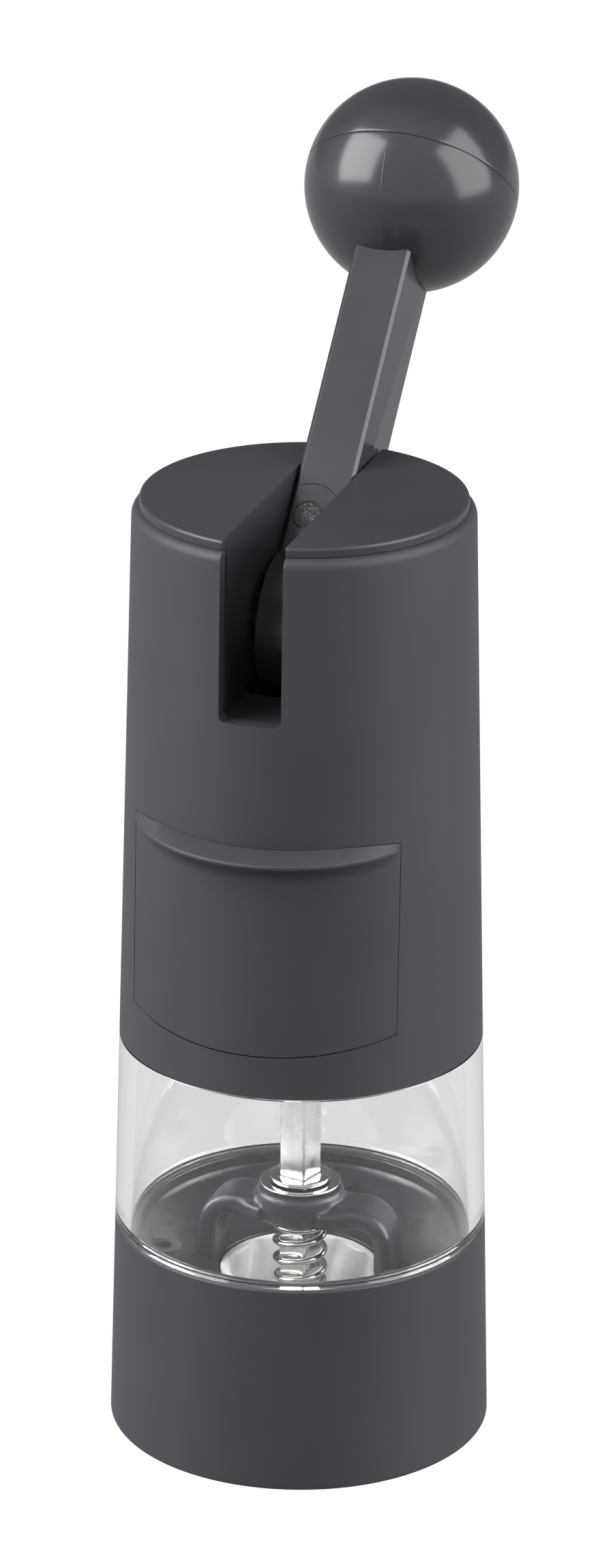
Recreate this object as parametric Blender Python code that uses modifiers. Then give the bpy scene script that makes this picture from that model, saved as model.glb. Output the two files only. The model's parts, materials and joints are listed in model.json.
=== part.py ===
"""Pepper mill worked by a ball-ended lever that swings in a slot through its top.

The lever's hub sits between two ratchet gears on the pivot pin. Both gears mesh with one bevel
pinion, which turns the square drive shaft and, through it, the ceramic rotor in the foot.
The frame: Z is the mill's axis, the mill stands on the plane Z = 0, and its front faces -Y.
"""

import math

import bmesh
import bpy
from mathutils import Matrix, Vector

MM = 0.001

# Clearances
GAP = 0.3 * MM  # between two pieces that touch
OVERSHOOT = 5.0 * MM  # how far a cutter runs past what it cuts

# Facets
BODY_STEPS = 40
SMALL_STEPS = 20
SCREW_STEPS = 12

# Outer body: one cone from the foot to the top
BASE_RADIUS = 28.5 * MM
BODY_DRAFT = 0.02493  # radius lost for each unit of height
BASE_HEIGHT = 32.3 * MM
RESERVOIR_HEIGHT = 30.2 * MM
SHELL_HEIGHT = 82.0 * MM
SHELL_WALL = 2.4 * MM
SHELL_EDGE = 1.5 * MM
FOOT_EDGE = 0.5 * MM
CAP_THICKNESS = 1.2 * MM
CAP_SET_IN = 1.1 * MM  # how far the plate's edge lies inside the shell's

RESERVOIR_BOTTOM = BASE_HEIGHT + GAP
SHELL_BOTTOM = BASE_HEIGHT + RESERVOIR_HEIGHT
SHELL_TOP = SHELL_BOTTOM + SHELL_HEIGHT
CAP_TOP = SHELL_TOP + GAP + CAP_THICKNESS

# Lever
PIVOT_BELOW_TOP = 18.5 * MM
PIVOT_Z = SHELL_TOP - PIVOT_BELOW_TOP
LEVER_REST_ANGLE = math.radians(45)  # back from upright
LEVER_WIDTH = 8.6 * MM
LEVER_DEPTH = 13.0 * MM
LEVER_BEVEL = 0.9 * MM
LEVER_LENGTH = 73.1 * MM  # pivot to ball centre
BALL_RADIUS = 16.0 * MM
BAR_END = 2.0 * MM  # below the plane that splits the ball
TONGUE_RADIUS = 12.4 * MM  # of the ring that locates the ball's cap
TONGUE_WALL = 1.4 * MM
TONGUE_DEPTH = 1.5 * MM
HUB_RADIUS = 10.5 * MM
PIN_RADIUS = 2.4 * MM
SLOT_CLEARANCE = 0.38 * MM  # each side of the lever
SLOT_FLOOR_Z = PIVOT_Z - LEVER_DEPTH / 2 - 0.2 * MM
SLOT_CORNER = 1.0 * MM
SLOT_HALF_WIDTH = LEVER_WIDTH / 2 + SLOT_CLEARANCE
CAP_WALL = 1.6 * MM
CAP_FLOOR = 1.6 * MM

# Ratchet gears and pinion: straight bevel gears whose cones meet at the pivot
PINION_TEETH = 10
GEAR_TEETH = 15
PINION_PITCH_RADIUS = LEVER_WIDTH / 2 + 5.7 * MM
GEAR_PITCH_RADIUS = PINION_PITCH_RADIUS * GEAR_TEETH / PINION_TEETH
MODULE = 2 * PINION_PITCH_RADIUS / PINION_TEETH
ADDENDUM = 0.65 * MODULE
DEDENDUM = 0.85 * MODULE
TOOTH_TIP_SHARE = 0.24  # of the tooth pitch
TOOTH_ROOT_SHARE = 0.50
TOOTH_INNER_SCALE = 0.72  # small end of a tooth over its large end
GEAR_RIM = 1.0 * MM
RATCHET_TEETH = 14
RATCHET_HEIGHT = 0.8 * MM
RATCHET_INNER = 5.6 * MM
RATCHET_OUTER = 9.2 * MM
RATCHET_FLANK_SHARE = 0.15
RATCHET_SPRING_SPACE = 2.2 * MM
RATCHET_SPRING_WIRE = 0.6 * MM
RATCHET_SPRING_RADIUS = 4.4 * MM
RATCHET_SPRING_TURNS = 1.8

# Gear frame
UPRIGHT_THICKNESS = 2.2 * MM
UPRIGHT_HALF_DEPTH = 6.0 * MM
FRAME_FLOOR = 2.3 * MM
SLEEVE_WALL = 1.15 * MM  # at the corners of the square hole
SLEEVE_BELOW_FLOOR = 1.9 * MM
BUSHING_WALL = 1.7 * MM
BUSHING_FLANGE = 1.6 * MM
BUSHING_FLANGE_HEIGHT = 1.0 * MM
RIB_HEIGHT = 1.4 * MM
RIB_WIDTH = 0.9 * MM
POST_RADIUS = 2.0 * MM
SCREW_RADIUS = 1.1 * MM
SCREW_HEAD_RADIUS = 2.1 * MM
SCREW_HEAD_HEIGHT = 1.3 * MM
SCREW_DEPTH = 8.0 * MM

# Drive shaft
SHAFT_SIDE = 4.6 * MM
SHAFT_ANGLE = math.radians(-16.6)
SHAFT_CLEARANCE = 0.15 * MM  # each side, in the pinion and the rotor
SHAFT_CHAMFER = 0.4 * MM
SHAFT_CORNER_RADIUS = math.hypot(SHAFT_SIDE / 2, SHAFT_SIDE / 2 - SHAFT_CHAMFER)

# Fill door
DOOR_HALF_WIDTH = 20.07 * MM
DOOR_BOTTOM = 6.4 * MM  # above the shell's lower edge, at the front
DOOR_CORNER_Z = 38.1 * MM  # top corners above the shell's lower edge
DOOR_BOTTOM_SLOPE = 0.25
DOOR_HINGE_INSET = SHELL_WALL + 2.1 * MM  # behind the shell's outer face
DOOR_HINGE_RISE = 4.7 * MM  # above the door's bottom edge
DOOR_PIN_RADIUS = 0.9 * MM
DOOR_PIN_HALF_LENGTH = 4.2 * MM
DOOR_LUG_INNER = 2.0 * MM
DOOR_LUG_OUTER = 4.4 * MM
LIP_REACH = 3.7 * MM
LIP_EDGE_RADIUS = 22.0 * MM
LIP_DROP = 1.3 * MM
LIP_HEIGHT = 4.9 * MM

# Reservoir
LAP_HEIGHT = 2.5 * MM  # how far the reservoir's collar runs up inside the shell
LAP_WALL = 1.3 * MM
COLLAR_WALL = 1.4 * MM
CARRIER_COLLAR_WALL = 1.2 * MM
RESERVOIR_SEAT = 2.5 * MM  # from the outer face to the base's ledge

# Burr carrier, bridge and base
BOWL_COLLAR_RISE = 0.2 * MM
BOWL_STEP_Z = BASE_HEIGHT - 1.9 * MM
BURR_OPENING = 12.2 * MM
BURR_TOP_Z = 24.3 * MM
BOWL_WALL = 1.8 * MM
SOCKET_WALL = 1.9 * MM
SOCKET_BOTTOM_Z = 5.0 * MM
STATOR_SHOULDER_Z = 20.0 * MM
STATOR_BOTTOM_Z = 13.0 * MM
STATOR_FLANGE_RADIUS = 13.8 * MM
BRIDGE_HALF_WIDTH = 4.0 * MM
BRIDGE_LEG = 2.4 * MM
BRIDGE_UNDERSIDE_Z = BURR_TOP_Z + 9.1 * MM
BRIDGE_THICKNESS = 2.2 * MM
BRIDGE_CORNER = 2.2 * MM
HUB_OUTER = 6.6 * MM
HUB_HEIGHT = 5.4 * MM
WASHER_RADIUS = 6.05 * MM
WASHER_THICKNESS = 0.5 * MM
CLIP_RADIUS = 4.6 * MM
CLIP_THICKNESS = 0.6 * MM
BASE_FLANGE_RADIUS = 17.5 * MM
BASE_FLANGE_Z = 2.2 * MM
BASE_FLANGE_THICKNESS = 2.0 * MM
BASE_BOSS_RADIUS = 2.6 * MM
BASE_SCREW_COUNT = 3

# Rotor and grind adjustment
ROTOR_BOTTOM_Z = STATOR_BOTTOM_Z - 0.1 * MM
ROTOR_HEIGHT = 8.1 * MM
ROTOR_TOP_RADIUS = SHAFT_SIDE / math.sqrt(2) + 1.45 * MM
ROTOR_BOTTOM_RADIUS = 9.6 * MM
ROTOR_LOBES = 8
STATOR_GROOVES = 10
KNOB_RADIUS = 11.0 * MM
KNOB_HEIGHT = 4.2 * MM
KNOB_STEM_RADIUS = 3.2 * MM
KNOB_GRIPS = 8
LIFT_TRAVEL = 0.8 * MM
THRUST_RADIUS = 5.5 * MM
THRUST_THICKNESS = 1.1 * MM
SPIDER_RING_HEIGHT = 3.2 * MM
SPIDER_RING_WALL = 1.9 * MM
SPIDER_BOSS_RADIUS = 5.2 * MM
SPIDER_ARMS = 3
SPIDER_ARM_WIDTH = 2.4 * MM
SPIDER_ARM_HEIGHT = 3.2 * MM
SPRING_WIRE = 1.0 * MM
SPRING_RADIUS = SHAFT_CORNER_RADIUS + SPRING_WIRE / 2 + 0.2 * MM  # to the wire's centre
SPRING_TURNS = 4.2

# Worked-out places
APEX = Vector((0, 0, PIVOT_Z))
GEAR_DISTANCE = PINION_PITCH_RADIUS
PINION_DISTANCE = GEAR_PITCH_RADIUS
PITCH_SLOPE = math.atan2(GEAR_PITCH_RADIUS, PINION_PITCH_RADIUS)
GEAR_BACK = GEAR_DISTANCE + DEDENDUM * math.sin(PITCH_SLOPE) + GEAR_RIM
GEAR_RIM_RADIUS = GEAR_PITCH_RADIUS - DEDENDUM * math.cos(PITCH_SLOPE)
UPRIGHT_INNER = GEAR_BACK + RATCHET_SPRING_SPACE
UPRIGHT_OUTER = UPRIGHT_INNER + UPRIGHT_THICKNESS
PINION_BACK = PINION_DISTANCE + DEDENDUM * math.cos(PITCH_SLOPE) + GEAR_RIM
PINION_FRONT = (PINION_DISTANCE + DEDENDUM * math.cos(PITCH_SLOPE)) * TOOTH_INNER_SCALE
FRAME_FLOOR_TOP = PIVOT_Z - PINION_BACK - GAP
FRAME_FLOOR_BOTTOM = FRAME_FLOOR_TOP - FRAME_FLOOR
HUB_TOP_Z = BRIDGE_UNDERSIDE_Z - 1.2 * MM + HUB_HEIGHT
ROTOR_TOP_Z = ROTOR_BOTTOM_Z + ROTOR_HEIGHT
THRUST_BOTTOM_Z = ROTOR_BOTTOM_Z - GAP - THRUST_THICKNESS
SLEEVE_RADIUS = SHAFT_SIDE / math.sqrt(2) + SLEEVE_WALL
BUSHING_RADIUS = SLEEVE_RADIUS + GAP + BUSHING_WALL
POST_X = GEAR_BACK + 0.6 * MM + POST_RADIUS


def body_radius(z):
    """Radius of the outer cone at a height."""
    return BASE_RADIUS - BODY_DRAFT * z


def shell_inner_radius(z):
    return body_radius(z) - SHELL_WALL


DOOR_BOTTOM_Z = SHELL_BOTTOM + DOOR_BOTTOM
DOOR_TOP_CORNER = Vector((DOOR_HALF_WIDTH, 0, SHELL_BOTTOM + DOOR_CORNER_Z))
DOOR_FRONT_Y = -body_radius(DOOR_BOTTOM_Z)
DOOR_AXIS = Vector((0, DOOR_FRONT_Y + DOOR_HINGE_INSET, DOOR_BOTTOM_Z + DOOR_HINGE_RISE))
POST_CIRCLE = shell_inner_radius(SHELL_TOP) - POST_RADIUS - 0.9 * MM
POST_Y = math.sqrt(POST_CIRCLE**2 - POST_X**2)
BASE_SCREW_CIRCLE = BASE_FLANGE_RADIUS + 0.4 * MM + BASE_BOSS_RADIUS


# ---------------------------------------------------------------- scene and materials


def clear_scene():
    for obj in list(bpy.data.objects):
        bpy.data.objects.remove(obj, do_unlink=True)


def new_collection(name, hidden=False):
    collection = bpy.data.collections.new(name)
    collection.hide_render = hidden
    bpy.context.scene.collection.children.link(collection)
    return collection


def principled(name, color, roughness, metallic=0.0, transmission=0.0):
    material = bpy.data.materials.new(name)
    material.use_nodes = True
    shader = material.node_tree.nodes["Principled BSDF"]
    shader.inputs["Base Color"].default_value = (*color, 1)
    shader.inputs["Roughness"].default_value = roughness
    shader.inputs["Metallic"].default_value = metallic
    shader.inputs["Transmission Weight"].default_value = transmission
    return material


clear_scene()
PARTS = new_collection("pepper_mill")
TOOLS = new_collection("pepper_mill_cutters", hidden=True)

CHARCOAL = (0.075, 0.079, 0.086)


def charcoal(name, roughness=0.38):
    return principled(name, CHARCOAL, roughness)


def steel(name, roughness=0.28):
    return principled(name, (0.62, 0.61, 0.59), roughness, metallic=1.0)


def moulded(name, color=(0.72, 0.72, 0.69)):
    return principled(name, color, 0.45)


# ---------------------------------------------------------------- modelling helpers


def place(name, mesh, material):
    """An object in the parts collection, or a hidden tool when it has no material."""
    obj = bpy.data.objects.new(name, mesh)
    if material is None:
        TOOLS.objects.link(obj)
        obj.hide_render = True
        obj.display_type = "WIRE"
    else:
        PARTS.objects.link(obj)
        mesh.materials.append(material)
    return obj


def turned(name, profile, material=None, steps=BODY_STEPS, along="Z", at=(0, 0, 0)):
    """A profile of (radius, height) points turned about an axis. It runs down its outer side."""
    mesh = bpy.data.meshes.new(name)
    ring = all(radius > 0 for radius, _ in profile)
    edges = [(i, i + 1) for i in range(len(profile) - 1)]
    if ring:
        edges.append((len(profile) - 1, 0))
    mesh.from_pydata([(radius, 0, height) for radius, height in profile], edges, [])
    obj = place(name, mesh, material)
    screw = obj.modifiers.new("Turn", "SCREW")
    screw.steps = steps
    screw.render_steps = steps
    screw.use_merge_vertices = True
    screw.merge_threshold = 0.01 * MM
    obj.location = at
    if along == "X":
        obj.rotation_euler = (0, math.pi / 2, 0)
    return obj


def tube(name, inner, outer, bottom, top, material=None, **where):
    profile = [(inner, top), (outer, top), (outer, bottom), (inner, bottom)]
    return turned(name, profile, material, **where)


def rod(name, radius, bottom, top, material=None, steps=BODY_STEPS, along="Z", at=(0, 0, 0)):
    """A cylinder between two heights on its axis."""
    mesh = bpy.data.meshes.new(name)
    shape = bmesh.new()
    bmesh.ops.create_cone(
        shape,
        cap_ends=True,
        segments=steps,
        radius1=radius,
        radius2=radius,
        depth=top - bottom,
        matrix=Matrix.Translation((0, 0, (top + bottom) / 2)),
    )
    shape.to_mesh(mesh)
    shape.free()
    mesh.shade_smooth()
    mesh.set_sharp_from_angle(angle=math.radians(40))
    obj = place(name, mesh, material)
    obj.location = at
    if along == "X":
        obj.rotation_euler = (0, math.pi / 2, 0)
    return obj


def block(name, low, high, material=None, turn=0.0):
    """A box between two corners, turned about the Z axis."""
    mesh = bpy.data.meshes.new(name)
    low, high = Vector(low), Vector(high)
    shape = bmesh.new()
    size = Matrix.Diagonal((*(high - low), 1))
    bmesh.ops.create_cube(shape, size=1, matrix=Matrix.Translation((low + high) / 2) @ size)
    shape.to_mesh(mesh)
    shape.free()
    obj = place(name, mesh, material)
    obj.rotation_euler = (0, 0, turn)
    return obj


def outline_prism(name, outline, along, half_length):
    """A flat outline extruded both ways along X, Y or Z. Its points are the other two
    coordinates, in order: (y, z), (x, z) or (x, y)."""
    curve = bpy.data.curves.new(name, "CURVE")
    curve.dimensions = "2D"
    curve.fill_mode = "BOTH"
    curve.extrude = half_length
    spline = curve.splines.new("POLY")
    spline.points.add(len(outline) - 1)
    for point, (u, v) in zip(spline.points, outline):
        point.co = (u, v, 0, 1)
    spline.use_cyclic_u = True
    guide = bpy.data.objects.new(name + "_outline", curve)
    TOOLS.objects.link(guide)
    turns = {
        "Z": Matrix.Identity(4),
        "Y": Matrix.Rotation(math.pi / 2, 4, "X"),
        "X": Matrix(((0, 0, 1, 0), (1, 0, 0, 0), (0, 1, 0, 0), (0, 0, 0, 1))),
    }
    graph = bpy.context.evaluated_depsgraph_get()
    mesh = bpy.data.meshes.new_from_object(guide.evaluated_get(graph))
    mesh.transform(turns[along])
    shape = bmesh.new()
    shape.from_mesh(mesh)
    bmesh.ops.remove_doubles(shape, verts=shape.verts, dist=0.001 * MM)
    bmesh.ops.recalc_face_normals(shape, faces=shape.faces)
    shape.to_mesh(mesh)
    shape.free()
    bpy.data.objects.remove(guide)
    return place(name, mesh, None)


def loft(name, rings, material=None, solid=False):
    """Rings of equal count, each joined to the next. The last joins the first, or with solid set
    the first and last are capped. The rings run up the outside."""
    count = len(rings[0])
    points = [point for ring in rings for point in ring]
    faces = []
    spans = len(rings) - 1 if solid else len(rings)
    for level in range(spans):
        lower = level * count
        upper = (level + 1) % len(rings) * count
        for i in range(count):
            j = (i + 1) % count
            faces.append((lower + i, lower + j, upper + j, upper + i))
    if solid:
        faces.append(tuple(reversed(range(count))))
        faces.append(tuple(range(spans * count, (spans + 1) * count)))
    mesh = bpy.data.meshes.new(name)
    mesh.from_pydata(points, [], faces)
    shape = bmesh.new()
    shape.from_mesh(mesh)
    bmesh.ops.recalc_face_normals(shape, faces=shape.faces)
    shape.to_mesh(mesh)
    shape.free()
    return place(name, mesh, material)


def wire(name, points, radius, material):
    """A round wire through the points, as a mesh closed at both ends."""
    curve = bpy.data.curves.new(name, "CURVE")
    curve.dimensions = "3D"
    curve.bevel_depth = radius
    curve.bevel_resolution = 2
    curve.use_fill_caps = True
    spline = curve.splines.new("POLY")
    spline.points.add(len(points) - 1)
    for point, co in zip(spline.points, points):
        point.co = (*co, 1)
    obj = bpy.data.objects.new(name, curve)
    PARTS.objects.link(obj)
    curve.materials.append(material)
    return obj


def boolean(obj, other, operation):
    modifier = obj.modifiers.new(f"{operation.title()} {other.name}", "BOOLEAN")
    modifier.operation = operation
    modifier.solver = "EXACT"
    modifier.object = other
    return obj


def cut(obj, *tools):
    for tool in tools:
        boolean(obj, tool, "DIFFERENCE")
    return obj


def join(obj, *tools):
    for tool in tools:
        boolean(obj, tool, "UNION")
    return obj


def keep(obj, tool):
    return boolean(obj, tool, "INTERSECT")


def arc(centre, radius, start, end, steps):
    """Points of a circular arc in a plane, angles in degrees."""
    found = []
    for i in range(steps + 1):
        angle = math.radians(start + (end - start) * i / steps)
        found.append((centre[0] + radius * math.cos(angle), centre[1] + radius * math.sin(angle)))
    return found


def axis_empty(name, location, rotation=(0, 0, 0)):
    empty = bpy.data.objects.new(name, None)
    PARTS.objects.link(empty)
    empty.location = location
    empty.rotation_euler = rotation
    return empty


def hang_on(parent, *children):
    """Parents objects whose coordinates are already the parent's own."""
    for child in children:
        child.parent = parent


# ---------------------------------------------------------------- outer body


def make_base_housing():
    ledge_radius = body_radius(BASE_HEIGHT) - RESERVOIR_SEAT
    inner = ledge_radius
    flange_top = BASE_FLANGE_Z + BASE_FLANGE_THICKNESS
    profile = [
        (inner, BASE_HEIGHT),
        (body_radius(BASE_HEIGHT), BASE_HEIGHT),
        (body_radius(FOOT_EDGE), FOOT_EDGE),
        (body_radius(0) - FOOT_EDGE, 0),
        (inner, 0),
        (inner, BASE_FLANGE_Z),
        (BASE_FLANGE_RADIUS, BASE_FLANGE_Z),
        (BASE_FLANGE_RADIUS, flange_top),
        (inner, flange_top),
    ]
    housing = turned("base_housing", profile, charcoal("base_plastic"))
    for index, (x, y) in enumerate(base_screw_places(), 1):
        hole = rod(
            f"base_flange_hole_{index}",
            SCREW_RADIUS + GAP,
            BASE_FLANGE_Z - OVERSHOOT,
            flange_top + OVERSHOOT,
            steps=SCREW_STEPS,
            at=(x, y, 0),
        )
        cut(housing, hole)
    return housing


def base_screw_places():
    for i in range(BASE_SCREW_COUNT):
        angle = math.radians(90) + 2 * math.pi * i / BASE_SCREW_COUNT
        yield BASE_SCREW_CIRCLE * math.cos(angle), BASE_SCREW_CIRCLE * math.sin(angle)


def reservoir_collar_outer(z):
    return body_radius(z) - LAP_WALL - GAP


def make_reservoir():
    """A clear tapered tube, whose collar runs up inside the shell."""
    top = SHELL_BOTTOM - GAP
    collar_top = SHELL_BOTTOM + LAP_HEIGHT
    collar_outer = reservoir_collar_outer(collar_top)
    inner_top = collar_outer - COLLAR_WALL
    inner_bottom = body_radius(BASE_HEIGHT) - RESERVOIR_SEAT
    profile = [
        (inner_top, collar_top),
        (collar_outer, collar_top),
        (collar_outer, top),
        (body_radius(top), top),
        (body_radius(RESERVOIR_BOTTOM), RESERVOIR_BOTTOM),
        (inner_bottom, RESERVOIR_BOTTOM),
    ]
    clear = principled("clear_plastic", (0.95, 0.96, 0.97), 0.03, transmission=1.0)
    return turned("reservoir", profile, clear)


def door_outline(clearance):
    """The door's outline in (y, z): a sloped bottom and a top that follows the hinge's circle."""
    corner_y = -math.sqrt(body_radius(DOOR_TOP_CORNER.z) ** 2 - DOOR_HALF_WIDTH**2)
    reach = Vector((corner_y - DOOR_AXIS.y, DOOR_TOP_CORNER.z - DOOR_AXIS.z)).length + clearance
    front = DOOR_FRONT_Y - 2 * OVERSHOOT
    back = DOOR_AXIS.y + 14 * MM
    bottom_front = DOOR_BOTTOM_Z - clearance + (front - DOOR_FRONT_Y) * DOOR_BOTTOM_SLOPE
    bottom_back = DOOR_BOTTOM_Z - clearance + (back - DOOR_FRONT_Y) * DOOR_BOTTOM_SLOPE
    start = math.degrees(math.acos((back - DOOR_AXIS.y) / reach))
    end = math.degrees(math.acos((front - DOOR_AXIS.y) / reach))
    top = arc((DOOR_AXIS.y, DOOR_AXIS.z), reach, start, end, 10)
    return [(front, bottom_front), (back, bottom_back), *top]


def door_sweep():
    """What the door's lower edge needs as it swings in: turned about the hinge, with a radius
    that reaches the edge at each X."""
    edge_half = math.sqrt(DOOR_FRONT_Y**2 - DOOR_AXIS.y**2)
    sections = []
    steps = 8
    for i in range(steps + 1):
        x = edge_half * (1 - 2 * i / steps)
        outer_y = -math.sqrt(DOOR_FRONT_Y**2 - x**2)
        edge_z = DOOR_BOTTOM_Z + (outer_y - DOOR_FRONT_Y) * DOOR_BOTTOM_SLOPE
        reach = Vector((outer_y - DOOR_AXIS.y, edge_z - DOOR_AXIS.z)).length
        sections.append((reach + GAP, x))
    profile = [(0, edge_half), *sections, (0, -edge_half)]
    return turned("door_sweep_cut", profile, steps=SMALL_STEPS, along="X", at=DOOR_AXIS)


def make_outer_shell():
    lap_top = SHELL_BOTTOM + LAP_HEIGHT + GAP
    lap_inner = body_radius(lap_top) - LAP_WALL
    rib_top = FRAME_FLOOR_BOTTOM - GAP
    rib_bottom = rib_top - RIB_HEIGHT
    rib_inner = shell_inner_radius(rib_top) - RIB_WIDTH
    edge_centre = (body_radius(SHELL_TOP) - SHELL_EDGE, SHELL_TOP - SHELL_EDGE)
    profile = [
        (shell_inner_radius(SHELL_TOP), SHELL_TOP),
        *arc(edge_centre, SHELL_EDGE, 90, 0, 3),
        (body_radius(SHELL_BOTTOM), SHELL_BOTTOM),
        (lap_inner, SHELL_BOTTOM),
        (lap_inner, lap_top),
        (shell_inner_radius(lap_top), lap_top),
        (shell_inner_radius(rib_bottom), rib_bottom),
        (rib_inner, rib_bottom),
        (rib_inner, rib_top),
        (shell_inner_radius(rib_top), rib_top),
    ]
    shell = turned("outer_shell", profile, charcoal("shell_plastic"))
    opening = outline_prism("door_opening_cut", door_outline(GAP), "X", DOOR_HALF_WIDTH + GAP)
    half = SLOT_HALF_WIDTH
    above = SHELL_TOP + OVERSHOOT
    corner_z = SLOT_FLOOR_Z + SLOT_CORNER
    notch = [
        (-half, above),
        *arc((-half + SLOT_CORNER, corner_z), SLOT_CORNER, 180, 270, 3),
        *arc((half - SLOT_CORNER, corner_z), SLOT_CORNER, 270, 360, 3),
        (half, above),
    ]
    slot = outline_prism("lever_slot_cut", notch, "Y", BASE_RADIUS + OVERSHOOT)
    return cut(shell, opening, door_sweep(), slot)


def make_top_cap():
    """The plate, with the slot's walls and floor below it, and four posts for the screws."""
    plug_bottom = SLOT_FLOOR_Z - CAP_FLOOR
    plug_top = SHELL_TOP + GAP
    plate_radius = body_radius(SHELL_TOP) - CAP_SET_IN
    edge = CAP_THICKNESS / 3
    profile = [
        (0, CAP_TOP),
        (plate_radius - edge, CAP_TOP),
        (plate_radius, CAP_TOP - edge),
        (plate_radius, plug_top),
        (shell_inner_radius(SHELL_TOP) - GAP, plug_top),
        (shell_inner_radius(plug_bottom) - GAP, plug_bottom),
        (0, plug_bottom),
    ]
    cap = turned("top_cap", profile, charcoal("cap_plastic"))
    wide = BASE_RADIUS + OVERSHOOT
    wall_outer = SLOT_HALF_WIDTH + CAP_WALL
    under_plate = SHELL_TOP - CAP_FLOOR
    cut(
        cap,
        block(
            "cap_slot_cut",
            (-SLOT_HALF_WIDTH, -wide, SLOT_FLOOR_Z - 0.1 * MM),
            (SLOT_HALF_WIDTH, wide, CAP_TOP + OVERSHOOT),
        ),
    )
    for side, name in ((-1, "left"), (1, "right")):
        near, far = sorted((side * wall_outer, side * wide))
        low = (near, -wide, plug_bottom - OVERSHOOT)
        high = (far, wide, under_plate)
        cut(cap, block(f"cap_{name}_hollow_cut", low, high))
    gear_tip = GEAR_PITCH_RADIUS + ADDENDUM * math.cos(PITCH_SLOPE)
    hub_hole = gear_tip * TOOTH_INNER_SCALE + 0.4 * MM
    half_floor = HUB_RADIUS + 2 * MM
    cut(
        cap,
        rod("cap_hub_cut", hub_hole, -wall_outer - MM, wall_outer + MM, along="X", at=APEX),
        block(
            "cap_floor_cut",
            (-wall_outer - MM, -half_floor, plug_bottom - OVERSHOOT),
            (wall_outer + MM, half_floor, SLOT_FLOOR_Z + MM),
        ),
    )
    post_bottom = FRAME_FLOOR_TOP + GAP
    for index, (x, y) in enumerate(post_places(), 1):
        where = {"steps": SCREW_STEPS, "at": (x, y, 0)}
        post_top = under_plate + CAP_FLOOR / 2
        join(cap, rod(f"cap_post_{index}", POST_RADIUS, post_bottom, post_top, **where))
        bore_top = post_bottom + SCREW_DEPTH
        radius = SCREW_RADIUS + GAP / 2
        cut(cap, rod(f"cap_post_bore_{index}", radius, post_bottom - MM, bore_top, **where))
    return cap


def post_places():
    for x in (-POST_X, POST_X):
        for y in (-POST_Y, POST_Y):
            yield x, y


def screw(name, x, y, seat_z, length, material):
    """A pan-head screw that points up, its head under seat_z."""
    head_bottom = seat_z - SCREW_HEAD_HEIGHT
    tip = seat_z + length
    profile = [
        (0, tip),
        (SCREW_RADIUS * 0.5, tip),
        (SCREW_RADIUS, tip - SCREW_RADIUS),
        (SCREW_RADIUS, seat_z),
        (SCREW_HEAD_RADIUS, seat_z),
        (SCREW_HEAD_RADIUS, head_bottom + 0.4 * MM),
        (SCREW_HEAD_RADIUS * 0.75, head_bottom),
        (0, head_bottom),
    ]
    return turned(name, profile, material, steps=SCREW_STEPS, at=(x, y, 0))


def make_cap_screws():
    length = FRAME_FLOOR + GAP * 3 + SCREW_DEPTH * 0.85
    for index, (x, y) in enumerate(post_places(), 1):
        material = steel(f"cap_screw_steel_{index}")
        screw(f"cap_screw_{index}", x, y, FRAME_FLOOR_BOTTOM - GAP, length, material)


# ---------------------------------------------------------------- fill door


def make_fill_door():
    """A piece of the shell's wall with a crescent lip along its top and two hinge lugs."""
    top = SHELL_TOP
    wall = [
        (shell_inner_radius(top), top),
        (body_radius(top), top),
        (body_radius(SHELL_BOTTOM), SHELL_BOTTOM),
        (shell_inner_radius(SHELL_BOTTOM), SHELL_BOTTOM),
    ]
    door = turned("fill_door", wall, charcoal("door_plastic"))
    keep(door, outline_prism("door_outline_keep", door_outline(0), "X", DOOR_HALF_WIDTH))

    lip_z = DOOR_TOP_CORNER.z + 0.4 * MM
    lip_y = -body_radius(lip_z) - LIP_REACH + LIP_EDGE_RADIUS
    edge_z = lip_z - LIP_DROP
    lip_profile = [
        (0, lip_z + MM),
        (LIP_EDGE_RADIUS - LIP_REACH - MM, lip_z + MM * 0.35),
        (LIP_EDGE_RADIUS - 0.4 * MM, edge_z + 0.1 * MM),
        (LIP_EDGE_RADIUS, edge_z - 0.35 * MM),
        (LIP_EDGE_RADIUS - LIP_REACH, lip_z - LIP_HEIGHT),
        (0, lip_z - LIP_HEIGHT),
    ]
    lip = turned("door_lip", lip_profile, steps=BODY_STEPS + 16, at=(0, lip_y, 0))
    core = turned(
        "door_lip_core_cut",
        [
            (0, top),
            (body_radius(top) - MM, top),
            (body_radius(SHELL_BOTTOM) - MM, SHELL_BOTTOM),
            (0, SHELL_BOTTOM),
        ],
    )
    cut(lip, core)
    keep(lip, outline_prism("door_lip_keep", door_outline(0), "X", DOOR_HALF_WIDTH))
    join(door, lip)

    lug_radius = DOOR_PIN_RADIUS + 1.0 * MM
    for side, name in ((-1, "left"), (1, "right")):
        near, far = sorted((side * DOOR_LUG_INNER, side * DOOR_LUG_OUTER))
        where = {"along": "X", "steps": SCREW_STEPS, "at": DOOR_AXIS}
        wall_y = -shell_inner_radius(DOOR_AXIS.z) - SHELL_WALL / 3
        arm = block(
            f"door_lug_arm_{name}",
            (near, wall_y, DOOR_AXIS.z - lug_radius),
            (far, DOOR_AXIS.y, DOOR_AXIS.z + lug_radius),
        )
        join(door, arm, rod(f"door_lug_{name}", lug_radius, near, far, **where))
    reach = DOOR_LUG_OUTER + MM
    bore_radius = DOOR_PIN_RADIUS + GAP / 2
    cut(
        door,
        rod("door_pin_bore", bore_radius, -reach, reach, along="X", steps=SCREW_STEPS, at=DOOR_AXIS),
    )
    return door


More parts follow.
